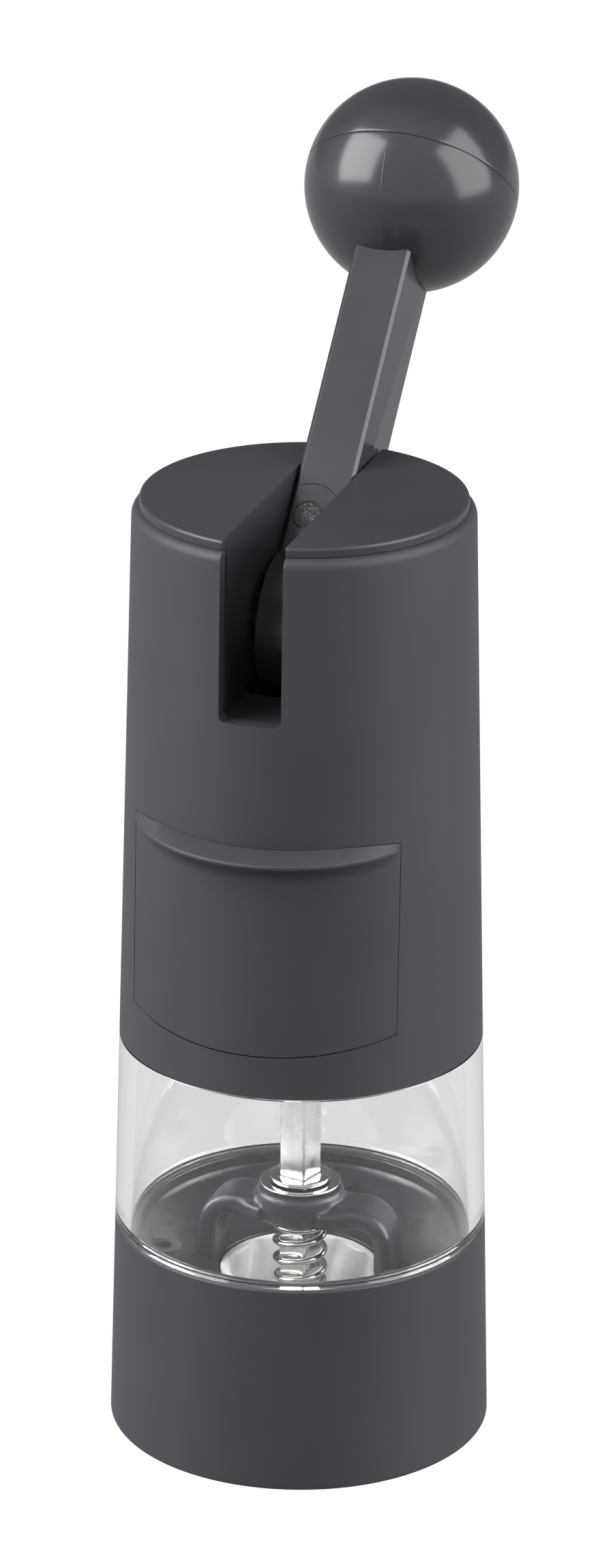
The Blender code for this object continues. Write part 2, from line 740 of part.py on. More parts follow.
def make_door_pin():
    half = DOOR_PIN_HALF_LENGTH
    return rod(
        "door_hinge_pin",
        DOOR_PIN_RADIUS,
        -half,
        half,
        steel("door_pin_steel"),
        along="X",
        steps=SCREW_STEPS,
        at=DOOR_AXIS,
    )


def make_hinge_bracket():
    """A gooseneck that comes up behind the door's lower edge and carries the hinge pin."""
    half_width = DOOR_LUG_INNER - GAP
    boss = DOOR_PIN_RADIUS + GAP / 2 + 0.6 * MM
    sweep = Vector((DOOR_HINGE_INSET, DOOR_HINGE_RISE)).length
    foot_top = DOOR_AXIS.z - sweep - GAP * 2
    foot_bottom = SHELL_BOTTOM + LAP_HEIGHT + GAP * 2
    front = -shell_inner_radius(foot_top) + GAP
    back = DOOR_AXIS.y + 3.9 * MM
    inside = DOOR_AXIS.y + 1.9 * MM
    outline = [
        (front, foot_bottom),
        (back, foot_bottom),
        (back, DOOR_AXIS.z),
        *arc((DOOR_AXIS.y, DOOR_AXIS.z), boss, 60, 270, 6),
        (inside, DOOR_AXIS.z - boss),
        (inside, foot_top),
        (front, foot_top),
    ]
    bracket = outline_prism("hinge_bracket", outline, "X", half_width)
    move_to_parts(bracket, charcoal("bracket_plastic"))
    radius = DOOR_PIN_RADIUS + GAP / 3
    reach = half_width + MM
    bore = rod("bracket_bore", radius, -reach, reach, along="X", steps=SCREW_STEPS, at=DOOR_AXIS)
    return cut(bracket, bore)


def move_to_parts(obj, material):
    """Makes a part of a shape that was built as a tool."""
    TOOLS.objects.unlink(obj)
    PARTS.objects.link(obj)
    obj.hide_render = False
    obj.display_type = "TEXTURED"
    obj.data.materials.append(material)


# ---------------------------------------------------------------- lever and ratchet drive


def crown(name, base, height, twist=0.0):
    """A ring of saw teeth on the local Z axis: flat at base, its tips at base + height."""
    rings = []
    levels = ((RATCHET_OUTER, False), (RATCHET_OUTER, True), (RATCHET_INNER, True), (RATCHET_INNER, False))
    for radius, toothed in levels:
        ring = []
        for tooth in range(RATCHET_TEETH):
            for share, rise in ((0.0, 0.0), (RATCHET_FLANK_SHARE, 1.0)):
                angle = twist + 2 * math.pi * (tooth + share) / RATCHET_TEETH
                root = base + math.copysign(0.25 * abs(height), height)
                z = root + (height - (root - base)) * rise if toothed else base
                ring.append((radius * math.cos(angle), radius * math.sin(angle), z))
        rings.append(ring)
    return loft(name, rings)


def make_lever():
    """The bar and its hub, in the lever's own frame: pivot at the origin, bar along Z."""
    axis = axis_empty("lever_axis", APEX, (-LEVER_REST_ANGLE, 0, 0))
    half = LEVER_WIDTH / 2
    bar_top = LEVER_LENGTH - BAR_END
    bar = block(
        "lever_arm",
        (-half, -LEVER_DEPTH / 2, 0),
        (half, LEVER_DEPTH / 2, bar_top),
        charcoal("lever_plastic"),
    )
    bevel = bar.modifiers.new("Long edges", "BEVEL")
    bevel.width = LEVER_BEVEL
    bevel.segments = 1
    bevel.limit_method = "ANGLE"
    core_half = half - RATCHET_HEIGHT
    hub = rod("lever_hub", HUB_RADIUS, -core_half, core_half, along="X", steps=32)
    join(bar, hub)
    pieces = [bar, hub]
    for side, name in ((-1, "left"), (1, "right")):
        base = core_half - 0.4 * MM
        teeth = crown(f"lever_{name}_teeth", base, half - base)
        teeth.rotation_euler = (0, side * math.pi / 2, 0)
        join(bar, teeth)
        pieces.append(teeth)
    bore = rod("lever_bore", PIN_RADIUS + GAP, -half - MM, half + MM, along="X", steps=SMALL_STEPS)
    cut(bar, bore)
    pieces.append(bore)

    hang_on(axis, *pieces, *make_ball(half, bar_top))


def make_ball(half_width, bar_top):
    """The ball in the lever's frame, split across the lever at its middle into a knob with a
    pocket for the bar and a cap with a ring tongue."""
    split = LEVER_LENGTH
    reach = BALL_RADIUS + OVERSHOOT
    knob = half_ball("ball_knob", charcoal("ball_plastic", 0.12))
    cap = half_ball("ball_cap", charcoal("ball_cap_plastic", 0.12))
    grow = GAP / 2
    above = block("ball_above_cut", (-reach, -reach, split - grow), (reach, reach, split + reach))
    below = block("ball_below_cut", (-reach, -reach, split - reach), (reach, reach, split + grow))
    cut(knob, above)
    cut(cap, below)
    pocket = block(
        "ball_pocket",
        (-half_width - grow, -LEVER_DEPTH / 2 - grow, 0),
        (half_width + grow, LEVER_DEPTH / 2 + grow, bar_top + GAP),
    )
    inner = TONGUE_RADIUS - TONGUE_WALL
    tongue = tube("ball_tongue", inner, TONGUE_RADIUS, split - TONGUE_DEPTH, split + MM, steps=28)
    groove = tube(
        "ball_groove", inner - GAP, TONGUE_RADIUS + GAP, split - TONGUE_DEPTH - GAP, split + MM,
        steps=28,
    )
    cut(knob, pocket, groove)
    join(cap, tongue)
    return knob, cap, above, below, pocket, tongue, groove


def half_ball(name, material):
    """A whole ball, to be cut to a half."""
    mesh = bpy.data.meshes.new(name)
    shape = bmesh.new()
    bmesh.ops.create_uvsphere(shape, u_segments=28, v_segments=16, radius=BALL_RADIUS)
    bmesh.ops.translate(shape, verts=shape.verts, vec=(0, 0, LEVER_LENGTH))
    shape.to_mesh(mesh)
    shape.free()
    mesh.shade_smooth()
    return place(name, mesh, material)


def bevel_teeth_ring(teeth, radius, distance, slope, scale, phase):
    """One end of a bevel gear's teeth: points round the local Z axis, its apex at the origin.
    radius and distance are the pitch circle's, slope is the pitch cone's half-angle."""
    ring = []
    outward = Vector((math.cos(slope), -math.sin(slope)))
    tip = (Vector((radius, distance)) + ADDENDUM * outward) * scale
    root = (Vector((radius, distance)) - DEDENDUM * outward) * scale
    shares = (
        (-TOOTH_ROOT_SHARE / 2, root),
        (-TOOTH_TIP_SHARE / 2, tip),
        (TOOTH_TIP_SHARE / 2, tip),
        (TOOTH_ROOT_SHARE / 2, root),
    )
    for tooth in range(teeth):
        for share, (r, z) in shares:
            angle = phase + 2 * math.pi * (tooth + share) / teeth
            ring.append((r * math.cos(angle), r * math.sin(angle), z))
    return ring


def plain_ring(like, radius, z):
    """A round ring at the angles of another ring."""
    found = []
    for x, y, _ in like:
        angle = math.atan2(y, x)
        found.append((radius * math.cos(angle), radius * math.sin(angle), z))
    return found


def make_ratchet_gear(side, name):
    """A bevel gear on the pivot pin, with ratchet teeth on its face towards the hub."""
    # The local +X axis points down once the gear is turned to the right, and up to the left.
    phase = 0 if side > 0 else math.pi
    args = (GEAR_TEETH, GEAR_PITCH_RADIUS, GEAR_DISTANCE, PITCH_SLOPE)
    large = bevel_teeth_ring(*args, 1.0, phase)
    small = bevel_teeth_ring(*args, TOOTH_INNER_SCALE, phase)
    boss = RATCHET_OUTER + 0.2 * MM
    tips = LEVER_WIDTH / 2 + GAP
    face = tips + RATCHET_HEIGHT
    root_z = (GEAR_DISTANCE + DEDENDUM * math.sin(PITCH_SLOPE)) * TOOTH_INNER_SCALE
    bore = PIN_RADIUS + GAP
    rings = [
        large,
        small,
        plain_ring(large, boss, root_z),
        plain_ring(large, boss, face),
        plain_ring(large, bore, face),
        plain_ring(large, bore, GEAR_BACK),
        plain_ring(large, GEAR_RIM_RADIUS, GEAR_BACK),
    ]
    gear = loft(f"{name}_ratchet_gear", rings, moulded(f"{name}_gear_plastic"))
    gear.location = APEX
    gear.rotation_euler = (0, side * math.pi / 2, 0)
    teeth = crown(f"{name}_gear_teeth", face + 0.4 * MM, tips - face - 0.4 * MM)
    teeth.location = APEX
    teeth.rotation_euler = (0, side * math.pi / 2, 0)
    return join(gear, teeth)


def make_pinion():
    """The bevel pinion and its sleeve. Its local Z axis points down from the pivot."""
    slope = math.pi / 2 - PITCH_SLOPE
    phase = math.pi / PINION_TEETH
    args = (PINION_TEETH, PINION_PITCH_RADIUS, PINION_DISTANCE, slope)
    large = bevel_teeth_ring(*args, 1.0, phase)
    small = bevel_teeth_ring(*args, TOOTH_INNER_SCALE, phase)
    rim = PINION_PITCH_RADIUS - DEDENDUM * math.cos(slope)
    sleeve_end = PIVOT_Z - FRAME_FLOOR_BOTTOM + SLEEVE_BELOW_FLOOR
    rings = [
        small,
        large,
        plain_ring(large, rim, PINION_BACK),
        plain_ring(large, SLEEVE_RADIUS, PINION_BACK),
        plain_ring(large, SLEEVE_RADIUS, sleeve_end),
    ]
    pinion = loft("bevel_pinion", rings, moulded("pinion_plastic"), solid=True)
    pinion.location = APEX
    pinion.rotation_euler = (math.pi, 0, 0)
    half = SHAFT_SIDE / 2 + SHAFT_CLEARANCE
    low = (-half, -half, FRAME_FLOOR_BOTTOM - 2 * OVERSHOOT)
    high = (half, half, PIVOT_Z)
    return cut(pinion, block("pinion_square_cut", low, high, turn=SHAFT_ANGLE))


def helix(radius, turns, bottom, top, per_turn, start=0.0):
    """A coil about Z whose first and last half turns lie almost flat."""
    count = round(turns * per_turn)
    points = []
    for i in range(count + 1):
        share = i / count
        flat = 0.5 / turns
        ease = min(max((share - flat) / (1 - 2 * flat), 0), 1)
        z = bottom + (top - bottom) * (0.9 * ease + 0.1 * share)
        angle = start + 2 * math.pi * turns * share
        points.append((radius * math.cos(angle), radius * math.sin(angle), z))
    return points


def make_ratchet_spring(side, name):
    low = GEAR_BACK + GAP + RATCHET_SPRING_WIRE / 2
    high = UPRIGHT_INNER - GAP - RATCHET_SPRING_WIRE / 2
    coil = helix(RATCHET_SPRING_RADIUS, RATCHET_SPRING_TURNS, low, high, 14)
    points = [(side * z, x, PIVOT_Z + y) for x, y, z in coil]
    spring_steel = steel(f"{name}_spring_steel")
    return wire(f"{name}_ratchet_spring", points, RATCHET_SPRING_WIRE / 2, spring_steel)


def make_pivot_pin():
    half = UPRIGHT_OUTER + 0.6 * MM
    chamfer = 0.4 * MM
    profile = [
        (0, half),
        (PIN_RADIUS - chamfer, half),
        (PIN_RADIUS, half - chamfer),
        (PIN_RADIUS, chamfer - half),
        (PIN_RADIUS - chamfer, -half),
        (0, -half),
    ]
    return turned("pivot_pin", profile, steel("pin_steel"), steps=SMALL_STEPS, along="X", at=APEX)


def make_gear_frame():
    """A round floor that sits on the shell's rib, and two uprights for the pivot pin."""
    radius = shell_inner_radius(FRAME_FLOOR_TOP) - GAP
    hole = BUSHING_RADIUS + GAP
    frame = tube(
        "gear_frame", hole, radius, FRAME_FLOOR_BOTTOM, FRAME_FLOOR_TOP, moulded("frame_plastic")
    )
    for side, name in ((-1, "left"), (1, "right")):
        root_z = FRAME_FLOOR_TOP - FRAME_FLOOR / 2
        half = UPRIGHT_HALF_DEPTH
        sides = [(-half, root_z), (half, root_z), *arc((0, PIVOT_Z), half, 0, 180, 10)]
        upright = outline_prism(f"frame_upright_{name}", sides, "X", UPRIGHT_THICKNESS / 2)
        upright.location.x = side * (UPRIGHT_INNER + UPRIGHT_OUTER) / 2
        join(frame, upright)
    pin_reach = UPRIGHT_OUTER + MM
    pin_hole = PIN_RADIUS + GAP / 2
    cut(frame, rod("frame_pin_bore", pin_hole, -pin_reach, pin_reach, along="X", steps=SMALL_STEPS, at=APEX))
    for index, (x, y) in enumerate(post_places(), 1):
        where = {"steps": SCREW_STEPS, "at": (x, y, 0)}
        low, high = FRAME_FLOOR_BOTTOM - MM, FRAME_FLOOR_TOP + MM
        cut(frame, rod(f"frame_screw_hole_{index}", SCREW_RADIUS + GAP, low, high, **where))
    return frame


def make_shaft_bushing():
    """A flanged sleeve pushed up into the frame's floor. The pinion's sleeve turns in it."""
    inner = SLEEVE_RADIUS + GAP
    flange = BUSHING_RADIUS + BUSHING_FLANGE
    flange_top = FRAME_FLOOR_BOTTOM - GAP
    flange_bottom = flange_top - BUSHING_FLANGE_HEIGHT
    profile = [
        (inner, FRAME_FLOOR_TOP),
        (BUSHING_RADIUS, FRAME_FLOOR_TOP),
        (BUSHING_RADIUS, flange_top),
        (flange, flange_top),
        (flange, flange_bottom),
        (inner, flange_bottom),
    ]
    return turned("shaft_bushing", profile, moulded("bushing_plastic", (0.9, 0.9, 0.88)), steps=24)


def make_drive_shaft():
    half = SHAFT_SIDE / 2
    low = (-half, -half, ROTOR_BOTTOM_Z + LIFT_TRAVEL + GAP)
    high = (half, half, PIVOT_Z - PINION_FRONT - GAP)
    shaft = block("drive_shaft", low, high, steel("shaft_steel"), turn=SHAFT_ANGLE)
    bevel = shaft.modifiers.new("Edges", "BEVEL")
    bevel.width = SHAFT_CHAMFER
    bevel.segments = 1
    return shaft


# ---------------------------------------------------------------- grinder


def bridge_outline():
    """The bridge seen from the front, in (x, z): two legs and the span between them."""
    inner = BURR_OPENING + 0.1 * MM
    outer = inner + BRIDGE_LEG
    bottom = BURR_TOP_Z - 1.2 * MM
    under = BRIDGE_UNDERSIDE_Z
    top = under + BRIDGE_THICKNESS
    in_radius, out_radius = BRIDGE_CORNER, BRIDGE_CORNER + 0.6 * MM
    return [
        (outer, bottom),
        *arc((outer - out_radius, top - out_radius), out_radius, 0, 90, 4),
        *arc((-outer + out_radius, top - out_radius), out_radius, 90, 180, 4),
        (-outer, bottom),
        (-inner, bottom),
        *arc((-inner + in_radius, under - in_radius), in_radius, 180, 90, 3),
        *arc((inner - in_radius, under - in_radius), in_radius, 90, 0, 3),
        (inner, bottom),
    ]


def make_burr_carrier():
    """The bowl with its collar, the socket for the stator, the bridge and the screw bosses."""
    ledge_radius = body_radius(BASE_HEIGHT) - RESERVOIR_SEAT
    collar_outer = ledge_radius - GAP
    collar_inner = collar_outer - CARRIER_COLLAR_WALL
    collar_top = BASE_HEIGHT + BOWL_COLLAR_RISE
    bowl_radius = collar_inner + 0.3 * MM
    socket_inner = STATOR_FLANGE_RADIUS + GAP
    socket_outer = socket_inner + SOCKET_WALL
    slope = (BOWL_STEP_Z - BURR_TOP_Z) / (bowl_radius - BURR_OPENING)
    under_socket = BURR_TOP_Z + (socket_outer - BURR_OPENING) * slope - BOWL_WALL
    under_collar = BURR_TOP_Z + (collar_outer - BURR_OPENING) * slope - BOWL_WALL
    profile = [
        (collar_inner, collar_top),
        (collar_outer, collar_top),
        (collar_outer, under_collar),
        (socket_outer, under_socket),
        (socket_outer, SOCKET_BOTTOM_Z),
        (socket_inner, SOCKET_BOTTOM_Z),
        (socket_inner, STATOR_SHOULDER_Z + GAP),
        (BURR_OPENING, STATOR_SHOULDER_Z + GAP),
        (BURR_OPENING, BURR_TOP_Z),
        (bowl_radius, BOWL_STEP_Z),
    ]
    carrier = turned("burr_carrier", profile, charcoal("carrier_plastic", 0.3))
    arch = outline_prism("bridge_arch", bridge_outline(), "Y", BRIDGE_HALF_WIDTH)
    hub_bottom = HUB_TOP_Z - HUB_HEIGHT
    chamfer = 1.0 * MM
    hub_profile = [
        (0, HUB_TOP_Z),
        (HUB_OUTER - chamfer * 0.3, HUB_TOP_Z),
        (HUB_OUTER, HUB_TOP_Z - chamfer),
        (HUB_OUTER, hub_bottom + chamfer),
        (HUB_OUTER - chamfer, hub_bottom),
        (0, hub_bottom),
    ]
    hub = turned("bridge_hub", hub_profile, steps=24)
    join(carrier, arch, hub)
    bore = SHAFT_CORNER_RADIUS + 0.45 * MM
    cut(carrier, rod("bridge_bore", bore, hub_bottom - MM, HUB_TOP_Z + MM, steps=SMALL_STEPS))
    boss_bottom = BASE_FLANGE_Z + BASE_FLANGE_THICKNESS + GAP
    inner_side = BASE_SCREW_CIRCLE - BASE_BOSS_RADIUS
    boss_top = BURR_TOP_Z + (inner_side - BURR_OPENING) * slope - 0.4 * MM
    for index, (x, y) in enumerate(base_screw_places(), 1):
        where = {"steps": SCREW_STEPS, "at": (x, y, 0)}
        join(carrier, rod(f"carrier_boss_{index}", BASE_BOSS_RADIUS, boss_bottom, boss_top, **where))
        radius = SCREW_RADIUS + GAP / 2
        bore_top = boss_bottom + SCREW_DEPTH
        cut(carrier, rod(f"carrier_boss_bore_{index}", radius, boss_bottom - MM, bore_top, **where))
    return carrier


def make_base_screws():
    length = BASE_FLANGE_THICKNESS + GAP * 3 + SCREW_DEPTH * 0.85
    for index, (x, y) in enumerate(base_screw_places(), 1):
        material = steel(f"base_screw_steel_{index}")
        screw(f"base_screw_{index}", x, y, BASE_FLANGE_Z - GAP, length, material)


def lobed_ring(count, radius, depth, lobes, z, twist=0.0, start=0.0):
    """A ring whose radius falls by depth between its lobes."""
    ring = []
    for i in range(count):
        angle = start + 2 * math.pi * i / count
        wave = 0.5 + 0.5 * math.cos(lobes * (angle - twist))
        r = radius - depth * wave
        ring.append((r * math.cos(angle), r * math.sin(angle), z))
    return ring


def make_stator():
    """The fixed ceramic ring: a funnel with upright grooves, flared at its lower edge."""
    count = 4 * STATOR_GROOVES
    outer = BURR_OPENING - GAP
    throat_z = STATOR_BOTTOM_Z + 4 * MM

    def bore(radius, depth, z):
        return lobed_ring(count, radius, -depth, STATOR_GROOVES, z)

    rings = [
        lobed_ring(count, STATOR_FLANGE_RADIUS, 0, 1, STATOR_BOTTOM_Z),
        lobed_ring(count, STATOR_FLANGE_RADIUS, 0, 1, STATOR_SHOULDER_Z),
        lobed_ring(count, outer, 0, 1, STATOR_SHOULDER_Z),
        lobed_ring(count, outer, 0, 1, BURR_TOP_Z),
        bore(outer - 1.6 * MM, 0.5 * MM, BURR_TOP_Z),
        bore(outer - 2.7 * MM, 0.7 * MM, throat_z),
        bore(outer - 1.1 * MM, 0.3 * MM, STATOR_BOTTOM_Z),
    ]
    return loft("ceramic_stator", rings, principled("stator_ceramic", (0.86, 0.85, 0.82), 0.25))


def make_rotor():
    """The turning ceramic cone, with swept lobes and a square hole for the shaft."""
    count = 32
    height = ROTOR_HEIGHT
    rings = []
    for share, depth in ((0.0, 0.5), (0.35, 1.2), (0.7, 1.0), (1.0, 0.2)):
        radius = ROTOR_BOTTOM_RADIUS + (ROTOR_TOP_RADIUS - ROTOR_BOTTOM_RADIUS) * share
        z = ROTOR_BOTTOM_Z + height * share
        rings.append(lobed_ring(count, radius, depth * MM, ROTOR_LOBES, z, twist=share * 0.7))
    ceramic = principled("rotor_ceramic", (0.9, 0.89, 0.86), 0.25)
    rotor = loft("ceramic_rotor", rings, ceramic, solid=True)
    half = SHAFT_SIDE / 2 + SHAFT_CLEARANCE
    low = (-half, -half, ROTOR_BOTTOM_Z - MM)
    high = (half, half, ROTOR_TOP_Z + MM)
    return cut(rotor, block("rotor_square_cut", low, high, turn=SHAFT_ANGLE))


def make_thrust_washer():
    top = THRUST_BOTTOM_Z + THRUST_THICKNESS
    return tube(
        "thrust_washer", THRUST_RADIUS - 3.5 * MM, THRUST_RADIUS, THRUST_BOTTOM_Z, top,
        steel("thrust_steel"), steps=24,
    )


def make_knob_spider():
    """A ring that holds the stator up, with arms to the nut of the adjusting screw."""
    ring_top = STATOR_BOTTOM_Z - GAP
    ring_bottom = ring_top - SPIDER_RING_HEIGHT
    outer = STATOR_FLANGE_RADIUS
    inner = outer - SPIDER_RING_WALL
    spider = tube("knob_spider", inner, outer, ring_bottom, ring_top, moulded("spider_plastic"))
    boss_bottom = KNOB_HEIGHT + LIFT_TRAVEL + 2 * GAP
    boss_top = THRUST_BOTTOM_Z - GAP
    arm_top = boss_top - 0.2 * MM
    for i in range(SPIDER_ARMS):
        angle = 2 * math.pi * i / SPIDER_ARMS + math.radians(30)
        arm = block(
            f"spider_arm_{i + 1}",
            (SPIDER_BOSS_RADIUS - MM, -SPIDER_ARM_WIDTH / 2, arm_top - SPIDER_ARM_HEIGHT),
            (inner + SPIDER_RING_WALL / 2, SPIDER_ARM_WIDTH / 2, arm_top),
            turn=angle,
        )
        join(spider, arm)
    join(spider, rod("spider_boss", SPIDER_BOSS_RADIUS, boss_bottom, boss_top, steps=SMALL_STEPS))
    bore = KNOB_STEM_RADIUS + GAP
    low, high = boss_bottom - MM, boss_top + MM
    return cut(spider, rod("spider_bore", bore, low, high, steps=SMALL_STEPS))


def make_adjust_knob():
    """A hand wheel under the base, flush with the foot, with finger scallops and a screw stem."""
    stem_top = THRUST_BOTTOM_Z - GAP
    edge = 0.5 * MM
    profile = [
        (0, stem_top),
        (KNOB_STEM_RADIUS - edge, stem_top),
        (KNOB_STEM_RADIUS, stem_top - edge),
        (KNOB_STEM_RADIUS, KNOB_HEIGHT),
        (KNOB_RADIUS, KNOB_HEIGHT),
        (KNOB_RADIUS, edge),
        (KNOB_RADIUS - edge, 0),
        (0, 0),
    ]
    knob = turned("adjust_knob", profile, charcoal("knob_plastic"), steps=32)
    scallop = 2.2 * MM
    for i in range(KNOB_GRIPS):
        angle = 2 * math.pi * (i + 0.5) / KNOB_GRIPS
        reach = KNOB_RADIUS + scallop * 0.45
        place_at = (reach * math.cos(angle), reach * math.sin(angle), 0)
        tool = rod(f"knob_scallop_{i + 1}", scallop, -MM, KNOB_HEIGHT + MM, steps=10, at=place_at)
        cut(knob, tool)
    return knob


def make_burr_spring():
    bottom = ROTOR_TOP_Z + GAP + SPRING_WIRE / 2
    top = HUB_TOP_Z - HUB_HEIGHT - GAP - SPRING_WIRE / 2
    points = helix(SPRING_RADIUS, SPRING_TURNS, bottom, top, 14, start=math.radians(-60))
    return wire("burr_spring", points, SPRING_WIRE / 2, steel("burr_spring_steel"))


def make_washer_and_clip():
    inner = SHAFT_CORNER_RADIUS + 0.35 * MM
    washer_bottom = HUB_TOP_Z + GAP
    washer_top = washer_bottom + WASHER_THICKNESS
    washer_steel = steel("washer_steel")
    tube("bridge_washer", inner, WASHER_RADIUS, washer_bottom, washer_top, washer_steel, steps=24)
    clip_bottom = washer_top + GAP
    clip = tube(
        "shaft_clip", SHAFT_SIDE / 2 + 0.5 * MM, CLIP_RADIUS, clip_bottom,
        clip_bottom + CLIP_THICKNESS, steel("clip_steel"), steps=24,
    )
    half = SHAFT_SIDE / 2 + SHAFT_CLEARANCE
    low, high = (-half, -half, HUB_TOP_Z), (half, half, clip_bottom + OVERSHOOT)
    return cut(clip, block("clip_square_cut", low, high, turn=SHAFT_ANGLE))


make_base_housing()
make_reservoir()
make_outer_shell()
make_top_cap()
make_cap_screws()
make_fill_door()
make_door_pin()
make_hinge_bracket()
make_lever()
for gear_side, gear_name in ((-1, "left"), (1, "right")):
    make_ratchet_gear(gear_side, gear_name)
    make_ratchet_spring(gear_side, gear_name)
make_pivot_pin()
make_pinion()
make_gear_frame()
make_shaft_bushing()
make_drive_shaft()
make_burr_carrier()
make_base_screws()
make_stator()
make_rotor()
make_thrust_washer()
make_knob_spider()
make_adjust_knob()
make_burr_spring()
make_washer_and_clip()
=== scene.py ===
"""The visible pepper mill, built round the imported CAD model.

Each piece here is a finer version of a CAD piece at the same place and size, and rides on the same
body. Lengths are metres. Z is the mill's axis and its front faces -Y.
"""

import json
import math

import bmesh
import bpy
from mathutils import Matrix, Quaternion, Vector


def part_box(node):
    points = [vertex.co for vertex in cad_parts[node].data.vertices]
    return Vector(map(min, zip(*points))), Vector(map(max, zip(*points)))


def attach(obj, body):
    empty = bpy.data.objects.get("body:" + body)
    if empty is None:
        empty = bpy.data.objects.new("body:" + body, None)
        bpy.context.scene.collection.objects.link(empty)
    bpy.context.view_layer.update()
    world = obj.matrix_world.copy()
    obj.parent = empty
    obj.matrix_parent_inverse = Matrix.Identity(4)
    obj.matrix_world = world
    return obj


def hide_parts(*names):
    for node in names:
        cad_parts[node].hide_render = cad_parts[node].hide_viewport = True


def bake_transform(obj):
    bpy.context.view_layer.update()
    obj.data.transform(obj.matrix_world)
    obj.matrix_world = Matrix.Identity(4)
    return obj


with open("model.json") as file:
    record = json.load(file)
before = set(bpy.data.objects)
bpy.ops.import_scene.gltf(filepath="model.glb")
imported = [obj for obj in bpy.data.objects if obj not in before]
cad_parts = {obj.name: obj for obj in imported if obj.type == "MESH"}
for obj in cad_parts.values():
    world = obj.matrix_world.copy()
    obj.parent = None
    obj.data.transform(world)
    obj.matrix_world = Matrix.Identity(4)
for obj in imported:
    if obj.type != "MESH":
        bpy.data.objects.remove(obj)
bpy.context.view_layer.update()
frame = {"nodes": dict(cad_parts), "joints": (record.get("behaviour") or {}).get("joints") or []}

MM = 0.001
SEAM = 0.07 * MM  # the hairline gap between pieces that meet
TURN = 168  # facets round a large piece

# ------ sizes, as in the CAD model
BASE_RADIUS = 28.5 * MM
BODY_DRAFT = 0.02493
SHELL_WALL = 2.4 * MM
SHELL_EDGE = 1.5 * MM
BASE_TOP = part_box("base_housing")[1].z
SHELL_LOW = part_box("outer_shell")[0].z
SHELL_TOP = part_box("outer_shell")[1].z
CAP_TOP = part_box("top_cap")[1].z
JOINTS = {joint["name"]: joint for joint in frame["joints"]}
PIVOT = Vector(JOINTS["lever_swing"]["pos_m"])
HINGE = Vector(JOINTS["door_swing"]["pos_m"])
SLOT_HALF = 4.68 * MM
SLOT_FLOOR = PIVOT.z - 6.7 * MM
SLOT_CORNER = 1.0 * MM

LEVER_LEAN = math.radians(45)
LEVER_HALF = 4.3 * MM
LEVER_DEPTH = 6.5 * MM
LEVER_LENGTH = 73.1 * MM
LEVER_CHAMFER = 0.5 * MM
HUB_RADIUS = 10.5 * MM
BALL_RADIUS = 16.0 * MM

DOOR_HALF = 20.07 * MM
DOOR_LOW = SHELL_LOW + 6.4 * MM
DOOR_CORNER = SHELL_LOW + 38.1 * MM
DOOR_SLOPE = 0.25
LIP_REACH = 3.7 * MM
LIP_RADIUS = 22.0 * MM

SHAFT_HALF = 2.3 * MM
SHAFT_TURN = math.radians(-16.6)
BURR_TOP = 24.3 * MM
HUB_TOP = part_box("burr_carrier")[1].z


def cone(z):
    """Radius of the mill's outside at a height."""
    return BASE_RADIUS - BODY_DRAFT * z


DOOR_FRONT = -cone(DOOR_LOW)


# ------ mesh helpers
looks = bpy.data.collections.new("pepper_mill_looks")
bpy.context.scene.collection.children.link(looks)


def new_object(name, points, faces, crease=38):
    mesh = bpy.data.meshes.new(name)
    mesh.from_pydata([tuple(p) for p in points], [], faces)
    shape = bmesh.new()
    shape.from_mesh(mesh)
    bmesh.ops.remove_doubles(shape, verts=shape.verts, dist=0.002 * MM)
    bmesh.ops.recalc_face_normals(shape, faces=shape.faces)
    shape.to_mesh(mesh)
    shape.free()
    obj = bpy.data.objects.new(name, mesh)
    looks.objects.link(obj)
    smooth(obj, crease)
    return obj


def smooth(obj, crease=38):
    obj.data.shade_smooth()
    obj.data.set_sharp_from_angle(angle=math.radians(crease))


def settle(obj):
    """Replaces an object's mesh with what its modifiers make, in the row frame."""
    bpy.context.view_layer.update()
    graph = bpy.context.evaluated_depsgraph_get()
    mesh = bpy.data.meshes.new_from_object(obj.evaluated_get(graph))
    mesh.transform(obj.matrix_world)
    obj.modifiers.clear()
    obj.matrix_world = Matrix.Identity(4)
    obj.data = mesh
    return obj


def combine(obj, other, operation="DIFFERENCE"):
    modifier = obj.modifiers.new(operation, "BOOLEAN")
    modifier.operation = operation
    modifier.solver = "EXACT"
    modifier.object = other
    settle(obj)
    bpy.data.objects.remove(other)
    return obj


def add_bevel(obj, width, segments, angle):
    modifier = obj.modifiers.new("Bevel", "BEVEL")
    modifier.width = width
    modifier.segments = segments
    modifier.limit_method = "ANGLE"
    modifier.angle_limit = math.radians(angle)
    return modifier


def round_edges(obj, width, segments=3, angle=38, crease=None):
    """Rounds the sharp edges, and keeps the flats flat."""
    add_bevel(obj, width, segments, angle).miter_outer = "MITER_ARC"
    settle(obj)
    smooth(obj, crease or 80)
    return obj


def fillet(points, steps=4):
    """Rounds the corners of a closed outline. Each point is (u, v) or (u, v, radius)."""
    found = []
    count = len(points)
    for i, point in enumerate(points):
        here = Vector(point[:2])
        radius = point[2] if len(point) > 2 else 0
        if radius <= 0:
            found.append(tuple(here))
            continue
        before = (Vector(points[i - 1][:2]) - here).normalized()
        after = (Vector(points[(i + 1) % count][:2]) - here).normalized()
        half = before.angle(after) / 2
        reach = radius / math.tan(half)
        centre = here + (before + after).normalized() * (radius / math.sin(half))
        start = (here + before * reach - centre).normalized()
        end = (here + after * reach - centre).normalized()
        for k in range(steps + 1):
            found.append(tuple(centre + start.slerp(end, k / steps) * radius))
    return found


